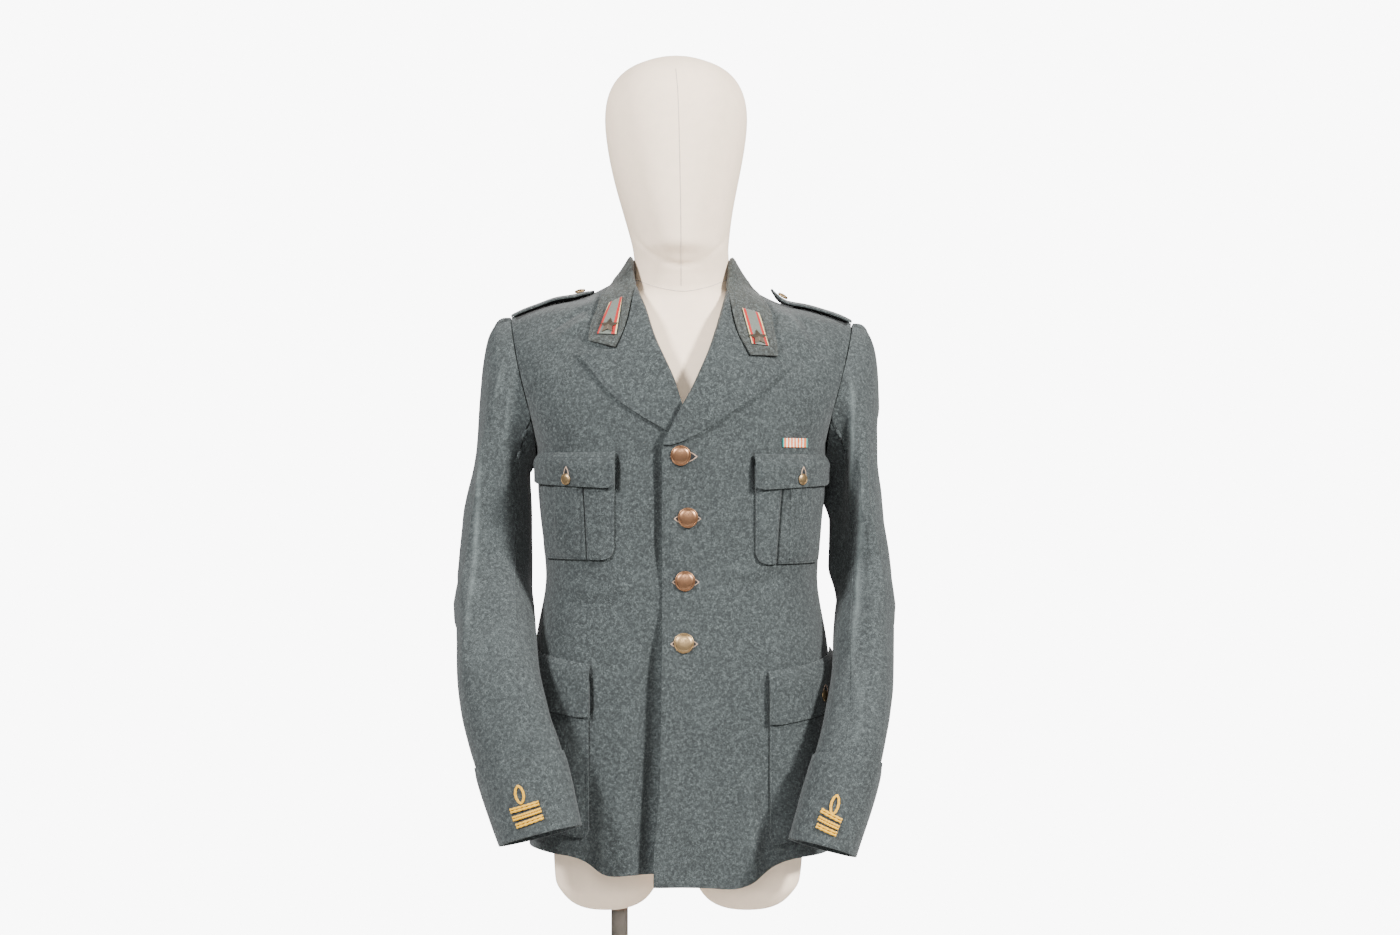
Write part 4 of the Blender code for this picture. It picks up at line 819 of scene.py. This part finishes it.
def palette():
    """The finishes, made once."""
    look = bpy.context.scene.tunic_colours
    if not palette.made:
        palette.made = {
            "green": wool("Grey-green melange wool", look.wool, 0.0),
            "brown": wool("Browned melange wool", look.wool_brown, 3.1),
            "blue": wool("Blue-grey melange wool", look.wool_blue, 5.3),
            "sewing": thread("Grey-green sewing thread", linear("#2C3234")),
            "hole": thread("Tan buttonhole silk", linear("#A98F7C"), sheen=0.1),
            # painted shade: near-black finish for the buttonholes' openings
            "slit": thread("Slit in shadow", linear("#14171A")),
            "linen": linen(),
            "seam": thread("Linen seam", linear("#C9BDB1")),
            "copper": worn_metal("Worn copper plating", look.copper, 0.34),
            "brass": worn_metal("Aged brass", look.brass, 0.34),
            "bronze": worn_metal("Dark bronze", look.bronze, 0.42, 1.0),
            "gold": thread("Gold braid thread", look.gold, 1300, 0.1, 0.5),
            "steel": brushed_steel(),
        }
    return palette.made


palette.made = {}


class TUNIC_OT_body(bpy.types.Operator):
    """Fronts, backs, sleeves and turned-up cuffs, with their folds"""
    bl_idname, bl_label = "tunic.body", "Body and sleeves"

    def execute(self, context):
        finishes = palette()
        make_cloth.folds = laid_folds()
        for word, _ in SIDES:
            make_cloth(f"front_{word}", 3, finishes["green"], ["dress_form"])
            make_cloth(f"back_{word}", 2, finishes["green"], ["dress_form"])
            make_cloth(f"sleeve_{word}_upper", 3, finishes["blue"], [f"front_{word}"])
            make_cloth(f"sleeve_{word}_under", 2, finishes["blue"], [f"front_{word}"])
            make_cloth(f"cuff_{word}", 3, finishes["blue"], [f"sleeve_{word}_upper"])
        return {"FINISHED"}


class TUNIC_OT_collar(bpy.types.Operator):
    """Collar, peaked lapels and shoulder straps"""
    bl_idname, bl_label = "tunic.collar", "Collar, lapels and straps"

    def execute(self, context):
        finishes = palette()
        make_cloth("collar", 2, finishes["brown"], ["front_right", "front_left", "dress_form"])
        for word, _ in SIDES:
            make_cloth(f"lapel_{word}", 2, finishes["green"], [f"front_{word}"])
            make_cloth(f"shoulder_strap_{word}", 3, finishes["green"], [f"front_{word}"])
        return {"FINISHED"}


class TUNIC_OT_pockets(bpy.types.Operator):
    """Patch pockets and their flaps"""
    bl_idname, bl_label = "tunic.pockets", "Pockets"

    def execute(self, context):
        finish = palette()["green"]
        for word, _ in SIDES:
            for kind in ("breast", "hip"):
                make_cloth(f"{kind}_pocket_{word}", 2, finish, [f"front_{word}"],
                           PLEATS[word] if kind == "breast" else None)
                make_cloth(f"{kind}_flap_{word}", 3, finish, [f"{kind}_pocket_{word}"])
        return {"FINISHED"}


SEAM_BREAK = 120 * MM


def seam_roll(node, finish, where, name, radius):
    """The rolled seam allowance that closes the gap along those cut edges where the test holds:
    a soft cord, with a break where nothing is cut for longer than SEAM_BREAK."""
    found = {}
    for start, end, across in outer_edges(node):
        if where((start + end) / 2, across):
            for spot in (start, end):
                found[round(spot.z, 4)] = (spot, across)
    line = [found[z] for z in sorted(found)]
    breaks = [i for i in range(1, len(line))
              if (line[i][0] - line[i - 1][0]).length > SEAM_BREAK]
    bm = bmesh.new()
    for first, last in zip([0] + breaks, breaks + [len(line)]):
        part = line[first:last]
        if len(part) < 2:
            continue
        spots = smooth_line([spot for spot, _ in part])
        across = np.array([a for _, a in part])
        shares = np.linspace(0, len(part) - 1, len(spots))
        across = np.stack([np.interp(shares, np.arange(len(part)), row) for row in across.T], 1)
        away = outward(spots, node)
        tube(bm, spots - across * 0.15 * MM - away * radius, away, radius, 8)
    mesh = mesh_from(name, bm)
    fold_cloth(node, mesh, make_cloth.folds)
    keep(name, mesh, finish)


HEM_ROW = 0.36        # edges below this height are hems


class TUNIC_OT_sewing(bpy.types.Operator):
    """Rows of stitches along the edges, and the rolled seams"""
    bl_idname, bl_label = "tunic.sewing", "Sewing"

    def execute(self, context):
        finish = palette()["sewing"]

        def rows(node, inset, where=lambda p: True):
            sew(CLOTH[node], node, inset * MM, where, finish)
        rows("front_left", 9, lambda p: (p.x < 0.01 and p.z < 0.80) or p.z < HEM_ROW)
        rows("front_right", 9, lambda p: p.z < HEM_ROW)
        for word, side in SIDES:
            rows(f"back_{word}", 9, lambda p: p.z < HEM_ROW)
            rows(f"lapel_{word}", 5, lambda p: abs(p.x) > 0.058 or p.z < 0.86)
            rows(f"shoulder_strap_{word}", 5)
            for kind in ("breast", "hip"):
                pocket = f"{kind}_pocket_{word}"
                mouth = max(v.co.z for v in CLOTH[pocket].data.vertices) - 12 * MM
                rows(pocket, 2, lambda p: p.z < mouth)
                rows(f"{kind}_flap_{word}", 6)
        rows("collar", 5)
        for word, side in SIDES:
            for part, sign in (("inner", -1), ("outer", 1)):
                seam_roll(f"sleeve_{word}_under", palette()["blue"],
                          lambda p, across: -0.6 < across.z < 0.88 and sign * across.y < 0,
                          f"sleeve_seam_{part}_{word}", 2.0 * MM)
            seam_roll(f"front_{word}", palette()["green"],
                      lambda p, across: p.z > 0.79 and abs(p.x) > 0.12 and across.x * side < -0.6,
                      f"armhole_roll_{word}", 3.0 * MM)
        return {"FINISHED"}


# ------------------------------------------------------------------ buttons, trim and stand

def lathe(name, profile, around, place, finish, stands_for):
    """A turned piece: (radius, height) points spun into a closed skin, in as many steps as
    around says, and put in place."""
    bm = bmesh.new()
    line = [bm.verts.new((r, 0, h)) for r, h in profile]
    edges = [bm.edges.new(pair) for pair in zip(line, line[1:])]
    bmesh.ops.spin(bm, geom=line + edges, axis=(0, 0, 1), angle=2 * math.pi, steps=around,
                   use_merge=True)
    bmesh.ops.remove_doubles(bm, verts=bm.verts, dist=0.002 * MM)
    bmesh.ops.recalc_face_normals(bm, faces=bm.faces)
    bmesh.ops.transform(bm, matrix=place, verts=bm.verts)
    return keep(name, mesh_from(name, bm), finish, stands_for)


def standing(spot, axis=(0, 0, 1)):
    """A matrix that puts the origin on a spot and Z along an axis."""
    made = Vector(axis).to_track_quat("Z", "Y").to_matrix().to_4x4()
    made.translation = Vector(spot)
    return made


def disc_place(node):
    """The place of a round node: its middle on its underside, with Z along its axis."""
    points = points_of(NODES[node].data)
    middle = (points.min(0) + points.max(0)) / 2
    axis = np.linalg.svd(points - points.mean(0), full_matrices=False)[2][2]
    axis = axis if axis @ outward(middle[None], node)[0] > 0 else -axis
    return standing(middle + axis * ((points - middle) @ axis).min(), axis)


def middle_of(node):
    """The middle of a node's box."""
    low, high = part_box(node)
    return (low + high) / 2


def button_profile(radius):
    """A domed button with a fine rim, as (radius, height) points."""
    dome = [(math.sin(a) * 0.80, 0.14 + 0.16 * math.cos(a)) for a in np.linspace(0, 1.45, 9)]
    rim = [(0.83, 0.135), (0.86, 0.125), (0.885, 0.15), (0.92, 0.185), (0.96, 0.18), (0.99, 0.14),
           (1.0, 0.09), (0.99, 0.05), (0.95, 0.02), (0.88, 0.0), (0.5, 0.0), (0.0, 0.0)]
    return [(r * radius, h * radius) for r, h in dome + rim]


def corner_map(mesh, corners):
    """Gives a mesh a UV map that runs from corner to corner of a four-cornered patch, found by
    Newton's steps. The corners are (across, height): top inner, top outer, bottom outer, bottom
    inner."""
    points = points_of(mesh)[:, [0, 2]]
    a, b, c, d = (np.array(p) for p in corners)
    u, v = np.full(len(points), 0.5), np.full(len(points), 0.5)
    for _ in range(12):
        there = (a * ((1 - u) * (1 - v))[:, None] + b * (u * (1 - v))[:, None]
                 + c * (u * v)[:, None] + d * ((1 - u) * v)[:, None])
        along_u = (b - a) * (1 - v)[:, None] + (c - d) * v[:, None]
        along_v = (d - a) * (1 - u)[:, None] + (c - b) * u[:, None]
        off = points - there
        det = along_u[:, 0] * along_v[:, 1] - along_u[:, 1] * along_v[:, 0]
        u = u + (off[:, 0] * along_v[:, 1] - off[:, 1] * along_v[:, 0]) / det
        v = v + (along_u[:, 0] * off[:, 1] - along_u[:, 1] * off[:, 0]) / det
    u, v = ((w - w.min()) / (w.max() - w.min()) for w in (u, v))
    layer = mesh.uv_layers.new(name="UVMap")
    index = np.zeros(len(mesh.loops), int)
    mesh.loops.foreach_get("vertex_index", index)
    layer.data.foreach_set("uv", np.stack([u, 1 - v], 1)[index].astype(np.float32).ravel())


FRONT_HOLES = ((1, 3.7), (2, 7.7), (3, 5.9), (4, 4.1))   # each button and its hole's x in mm
COLLAR_TABS = {   # corners as (distance from the middle, height)
    "right": ((0.0665, 0.9735), (0.0810, 0.9670), (0.0940, 0.9300), (0.0722, 0.9290)),
    "left": ((0.0690, 0.9600), (0.0880, 0.9545), (0.0985, 0.9160), (0.0795, 0.9178)),
}
BRAID_BARS = {    # middle lines as (distance from the middle, height): outer end, inner end
    "right": (((0.1840, 0.4052), (0.1530, 0.4156)), ((0.1810, 0.3970), (0.1503, 0.4084)),
              ((0.1770, 0.3897), (0.1480, 0.4013))),
    "left": (((0.1750, 0.3960), (0.1545, 0.4066)), ((0.1721, 0.3888), (0.1515, 0.3985)),
             ((0.1694, 0.3822), (0.1492, 0.3908))),
}
BRAID_LOOPS = {   # middle as (distance from the middle, height), lean in radians, and half
    # width and half height in mm
    "right": (0.1745, 0.4235, -0.20, 5.2, 9.8), "left": (0.1685, 0.4130, -0.28, 4.4, 10.6),
}


class TUNIC_OT_buttons(bpy.types.Operator):
    """Domed metal buttons and their worked buttonholes"""
    bl_idname, bl_label = "tunic.buttons", "Buttons and buttonholes"

    def execute(self, context):
        sizes, finishes = context.scene.tunic_sizes, palette()
        for node in NODES:
            if "button" not in node:
                continue
            large = node.startswith("front")
            radius = sizes.button if large else 6.5 * MM
            copper = large and not node.endswith("4")
            place, dome = disc_place(node), 1.0
            if node.startswith("strap"):      # these stand high and lean 18 degrees forward
                sideways = place.inverted().to_3x3() @ Vector((1, 0, 0))
                place, dome = place @ Matrix.Rotation(math.radians(18), 4, sideways), 1.7
            lathe("metal_" + node, [(r, h * dome) for r, h in button_profile(radius)],
                  72 if large else 48, place, finishes["copper" if copper else "brass"],
                  (node,))
        shown = {name: tree_of(piece) for name, piece in CLOTH.items()}
        for number, across in FRONT_HOLES:
            height = middle_of(f"front_button_{number}").z - 1.2 * MM
            self.hole(f"buttonhole_front_{number}", shown["front_left"], (across * MM, height),
                      14.6 * MM, 0.0, 6.4 * MM)
        for kind, half in (("breast", 9.0), ("hip", 6.8)):
            for word, _ in SIDES:
                button = middle_of(f"{kind}_button_{word}")
                self.hole(f"buttonhole_{kind}_{word}", shown[f"{kind}_flap_{word}"],
                          (button.x + 0.6 * MM, button.z + 5.0 * MM), half * MM, math.pi / 2,
                          2.6 * MM)
        return {"FINISHED"}

    def hole(self, name, tree, middle, half, turn, gape):
        """A slit that gapes to two points, edged all round with close silk stitches; its opening
        is a near-black cord sunk in the cloth, painted shade.
        """
        finishes = palette()
        turns = np.linspace(0, 2 * math.pi, 120, endpoint=False)
        edge = [(half * math.cos(a), gape * math.sin(a) * abs(math.sin(a))) for a in turns]
        bm = bmesh.new()
        tube(bm, *drawn_on(tree, edge, middle, turn, 0.2 * MM), 0.55 * MM, 8, closed=True,
             plies=3, lay=1.8 * MM, flat=0.8)
        keep(name, mesh_from(name, bm), finishes["hole"])
        # painted shade: the opening is not cut; a flat near-black cord stands for the shadow in
        # it
        shares = np.linspace(-0.95, 0.95, 40)
        slit = [(half * share, 0.0) for share in shares]
        bm = bmesh.new()
        tube(bm, *drawn_on(tree, slit, middle, turn, -0.15 * MM), gape * (1 - shares ** 2), 8,
             flat=0.12)
        keep(name + "_slit", mesh_from(name, bm), finishes["slit"])


class TUNIC_OT_trim(bpy.types.Operator):
    """Collar tabs, stars, ribbon bar and cuff braid"""
    bl_idname, bl_label = "tunic.trim", "Tabs, stars, ribbon and braid"

    def execute(self, context):
        sizes, finishes = context.scene.tunic_sizes, palette()
        buff, red, grey = "#C9B98A", "#A00C05", "#5E645C"
        tab = striped("Grey ribbon with red stripes",
                      ((0.0, buff), (0.07, red), (0.22, grey), (0.78, red), (0.92, buff)))
        teal, orange, white = "#2F9A90", "#E0692A", "#E9DFC9"
        starts = (0.06, 0.14, 0.20, 0.27, 0.33, 0.40, 0.46, 0.53, 0.59, 0.66, 0.72, 0.79, 0.85)
        middle = [(start, (orange, white)[i % 2]) for i, start in enumerate(starts)]
        medal = striped("Orange and white medal ribbon", [(0.0, teal), *middle, (0.94, teal)])
        for word, side in SIDES:
            mesh = refined(f"collar_tab_{word}", 3)
            corner_map(mesh, [(side * a, h) for a, h in COLLAR_TABS[word]])
            keep(f"ribbon_tab_{word}", mesh, tab, (f"collar_tab_{word}",))
            star = f"collar_star_{word}"
            bm = merged(star)
            middle = sum((v.co for v in bm.verts), Vector()) / len(bm.verts)
            bmesh.ops.scale(bm, vec=(1.5, 1.5, 1.5), verts=bm.verts,
                            space=Matrix.Translation(-middle))
            bmesh.ops.bevel(bm, geom=list(bm.edges), offset=0.12 * MM, segments=2, profile=0.5,
                            affect="EDGES", material=-1)
            keep(f"bronze_{star}", mesh_from(star, bm), finishes["bronze"],
                 (star,), smooth=False)
        low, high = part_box("ribbon_bar")
        mesh = refined("ribbon_bar", 3)
        corner_map(mesh, ((low.x, high.z), (high.x, high.z), (high.x, low.z), (low.x, low.z)))
        keep("ribbon_medal_bar", mesh, medal, ("ribbon_bar",))
        for word, side in SIDES:
            tree = tree_of(CLOTH[f"cuff_{word}"])
            for (outer, inner), part in zip(BRAID_BARS[word], ("top", "middle", "low")):
                outer, inner = np.array(outer), np.array(inner)
                along = (inner - outer) / np.linalg.norm(inner - outer)
                up = np.array((-along[1], along[0]))
                bm = bmesh.new()
                for shift in (-1.42 * MM, 1.42 * MM):      # two cords side by side
                    line = [(p + up * shift) * (side, 1)
                            for p in (outer, (outer + inner) / 2, inner)]
                    tube(bm, *on_piece(tree, "front", line, 1.7 * MM, 0.5 * MM),
                         1.05 * sizes.cord, 10, plies=2,
                         lay=(3.2 if part == "middle" else 6.0) * MM, flat=0.85)
                self.braid(part, word, bm)
            across, height, lean, half_wide, half_tall = BRAID_LOOPS[word]
            bm = bmesh.new()
            for inset in (0, 1.35):                        # one cord inside the other
                wide, tall = (half_wide - inset) * MM, (half_tall - inset) * MM
                ring = [(wide * math.sin(a) * abs(math.sin(a)) ** 0.25, tall * math.cos(a))
                        for a in np.linspace(0, 2 * math.pi, 90, endpoint=False)]
                tube(bm, *drawn_on(tree, ring, (across, height), lean, 1.0 * MM, side),
                     0.60 * sizes.cord, 10, closed=True, plies=2, lay=5 * MM, flat=0.85)
            self.braid("loop", word, bm)
        return {"FINISHED"}

    def braid(self, part, word, bm):
        """Keeps cords as one part of a cuff's braid."""
        keep(f"cord_{part}_{word}", mesh_from("cord", bm), palette()["gold"],
             (f"cuff_braid_{part}_{word}",))


CHIN = ((0.98, 0.99, 1.0, 1.01, 1.02, 1.03, 1.04, 1.05),      # height, and how far it is
        (0, 3, 7.5, 10.5, 9.6, 5.2, 1.2, 0))                  # padded forwards in mm
CHIN_HALF_WIDTH = 0.058
JAW = ((-60, 1062), (-48, 1040), (-27, 1021), (2, 1013), (29, 1021), (49, 1042), (60, 1066))
STUMP_TOP = 0.345
STUMPS = ((0.268, 0.2784, 0.2912, 0.3074, 0.3237, STUMP_TOP),  # height of the bare stumps, and
          (0.263, 0.2674, 0.2762, 0.2944, 0.3177, STUMP_TOP))  # of the padded ones
FORM_SEAMS = (        # side each is drawn from, and its points as (across, height)
    ("front", ((-0.006, 1.238), (-0.003, 1.20), (-0.001, 1.12), (0.0, 1.05), (0.0, 0.99))),
    ("back", ((-0.006, 1.238), (0.0, 1.20), (0.0, 1.10), (0.0, 1.02))),
    ("front", ((-0.0535, 1.0005), (-0.030, 0.990), (0.0017, 0.984), (0.032, 0.990),
               (0.0535, 1.0005))),
)


class TUNIC_OT_form(bpy.types.Operator):
    """Linen dress form with its seams, and its turned stand"""
    bl_idname, bl_label = "tunic.form", "Dress form and stand"

    def execute(self, context):
        finishes = palette()
        form = keep("linen_dress_form", self.padded(), finishes["linen"],
                    ("dress_form",))
        tree = tree_of(form)
        bm = bmesh.new()
        for view, corners in FORM_SEAMS:
            tube(bm, *on_piece(tree, view, corners, 0.05 * MM, 2 * MM), 0.45 * MM, 6)
        keep("seam_of_the_form", mesh_from("seam", bm), finishes["seam"])
        edge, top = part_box("stand_base")[1].xz
        base = [(0.0, 0.0), (edge - 3 * MM, 0.0), (edge - 1 * MM, 0.6 * MM), (edge, 2.5 * MM),
                (edge, 7.0 * MM), (edge - 0.6 * MM, 8.8 * MM), (edge - 2.4 * MM, top), (0.0, top)]
        lathe("steel_stand_base", base, 160, standing((0, 0, 0)), finishes["steel"],
              ("stand_base",))
        low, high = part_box("stand_pole")
        radius = (high.x - low.x) / 2
        tall = high.z - 5.3 * MM - low.z                 # it ends below the fuller stump
        pole = [(0.0, 0.0), (radius * 0.9, 0.0), (radius, 1 * MM)]
        pole += [(radius, z) for z in np.linspace(8 * MM, tall - 8 * MM, 12)]
        pole += [(radius, tall - 1 * MM), (radius * 0.9, tall), (0.0, tall)]
        lathe("steel_stand_pole", pole, 64,
              standing(((low.x + high.x) / 2, (low.y + high.y) / 2, low.z)),
              finishes["steel"], ("stand_pole",))
        return {"FINISHED"}

    def padded(self):
        """The form's mesh with a fuller chin, a groove along the jaw and fuller stumps."""
        mesh = refined("dress_form", 2)
        points = points_of(mesh)
        narrow = np.clip(1 - (points[:, 0] / CHIN_HALF_WIDTH) ** 2, 0, 1)
        points[:, 1] -= np.interp(points[:, 2], *CHIN) * MM * narrow * (points[:, 1] < 0)
        low = points[:, 2] < STUMP_TOP
        inner = low & (points[:, 0] > 0)
        points[:, 0] -= np.interp(points[:, 2], (0.30, STUMP_TOP), (3, 0)) * MM * inner
        points[low, 2] = np.interp(points[low, 2], *STUMPS)
        spots, normals = on_piece(tree_of(NODES["dress_form"]), "front", np.array(JAW) * MM, 0)
        spots[:, 1] -= np.interp(spots[:, 2], *CHIN) * MM
        apart = np.linalg.norm(points[:, None] - spots[None], axis=2)
        closest = apart.argmin(1)
        fade = np.sin(np.linspace(0, math.pi, len(spots))) ** 0.5
        groove = np.exp(-(apart.min(1) / (3 * MM)) ** 2) * fade[closest] * -2.2 * MM
        set_points(mesh, points + normals[closest] * groove[:, None])
        bm = bmesh.new()
        bm.from_mesh(mesh)
        for _ in range(14):       # the stumps' ends rounded
            bmesh.ops.smooth_vert(bm, verts=[v for v in bm.verts if v.co.z < 0.334], factor=0.5,
                                  use_axis_x=True, use_axis_y=True, use_axis_z=True)
        bm.to_mesh(mesh)
        bm.free()
        return mesh


LIGHTS = (            # name, place, what it is aimed at, width, power and colour
    ("key", (2.05, -1.8, 2.1), (0.05, 0, 0.9), 0.36, 230, (1.0, 0.99, 0.98)),
    ("fill", (-1.85, -1.8, 2.15), (-0.05, 0, 0.9), 0.6, 153, (0.99, 0.99, 1.0)),
    ("front", (0.0, -2.4, 1.35), (0, 0, 0.8), 0.8, 22, (1.0, 1.0, 1.0)),
    ("back", (0.2, 2.6, 2.4), (0, 0, 0.8), 1.8, 90, (1.0, 1.0, 1.0)),
)


class TUNIC_OT_stage(bpy.types.Operator):
    """Pale floor, soft studio lights and the camera"""
    bl_idname, bl_label = "tunic.stage", "Stage"

    def execute(self, context):
        scene = context.scene
        made, tree, place = new_material("Pale studio floor")
        grain = add(tree, "TexNoise", {"Vector": place, "Scale": 60, "Detail": 3})
        tone = add(tree, "MapRange", {"Value": grain, **NOISE, 3: 0.60, 4: 0.64})
        finish_material(tree, {"Base Color": tone, "Roughness": 0.8})
        bm = bmesh.new()
        bmesh.ops.create_circle(bm, cap_ends=True, segments=96, radius=0.98)
        bmesh.ops.translate(bm, verts=bm.verts, vec=(0, 0, -0.2 * MM))
        floor = bpy.data.objects.new("studio_floor", mesh_from("floor", bm))
        floor.data.materials.append(made)
        scene.collection.objects.link(floor)
        for name, spot, aim, wide, watts, tint in LIGHTS:
            light = bpy.data.lights.new(name, "AREA")
            light.shape, light.size, light.energy, light.color = "DISK", wide, watts, tint
            lamp = bpy.data.objects.new(name, light)
            lamp.location = spot
            towards = Vector(aim) - Vector(spot)
            lamp.rotation_euler = towards.to_track_quat("-Z", "Y").to_euler()
            scene.collection.objects.link(lamp)
        world = bpy.data.worlds.new("Studio")
        world.use_nodes = True
        sky = world.node_tree
        paper = sky.nodes["Background"]
        paper.inputs["Color"].default_value = (1.0, 1.0, 1.0, 1)
        seen = add(sky, "LightPath", out="Is Camera Ray")
        shown = add(sky, "MapRange", {"Value": seen, 3: 0.27, 4: 9.0})
        sky.links.new(shown, paper.inputs["Strength"])
        scene.world = world
        lens = bpy.data.cameras.new("Camera")
        lens.lens, lens.sensor_width = 55.1, 36.0
        camera = bpy.data.objects.new("Camera", lens)
        camera.location = (0.0218, -2.54, 0.78)
        camera.rotation_euler = (math.radians(90), 0, 0)
        scene.collection.objects.link(camera)
        scene.camera = camera
        return {"FINISHED"}


class TUNIC_PT_pieces(bpy.types.Panel):
    """The tunic's sizes, colours and pieces"""
    bl_idname, bl_label = "TUNIC_PT_pieces", "Dress tunic"
    bl_space_type, bl_region_type, bl_category = "VIEW_3D", "UI", "Tunic"

    def draw(self, context):
        scene = context.scene
        for group in (scene.tunic_sizes, scene.tunic_colours):
            for name in group.__annotations__:
                self.layout.prop(group, name)
        for kind in OPERATORS:
            self.layout.operator(kind.bl_idname)


PROPERTIES = (TunicSizes, TunicColours)
OPERATORS = (TUNIC_OT_body, TUNIC_OT_collar, TUNIC_OT_pockets, TUNIC_OT_sewing, TUNIC_OT_buttons,
             TUNIC_OT_trim, TUNIC_OT_form, TUNIC_OT_stage)


def register():
    for kind in (*PROPERTIES, *OPERATORS, TUNIC_PT_pieces):
        bpy.utils.register_class(kind)
    bpy.types.Scene.tunic_sizes = PointerProperty(type=TunicSizes)
    bpy.types.Scene.tunic_colours = PointerProperty(type=TunicColours)


def unregister():
    del bpy.types.Scene.tunic_sizes, bpy.types.Scene.tunic_colours
    for kind in reversed((*PROPERTIES, *OPERATORS, TUNIC_PT_pieces)):
        bpy.utils.unregister_class(kind)


def main():
    register()
    bpy.ops.tunic.body()
    bpy.ops.tunic.collar()
    bpy.ops.tunic.pockets()
    bpy.ops.tunic.sewing()
    bpy.ops.tunic.buttons()
    bpy.ops.tunic.trim()
    bpy.ops.tunic.form()
    bpy.ops.tunic.stage()


if __name__ == "__main__":
    main()
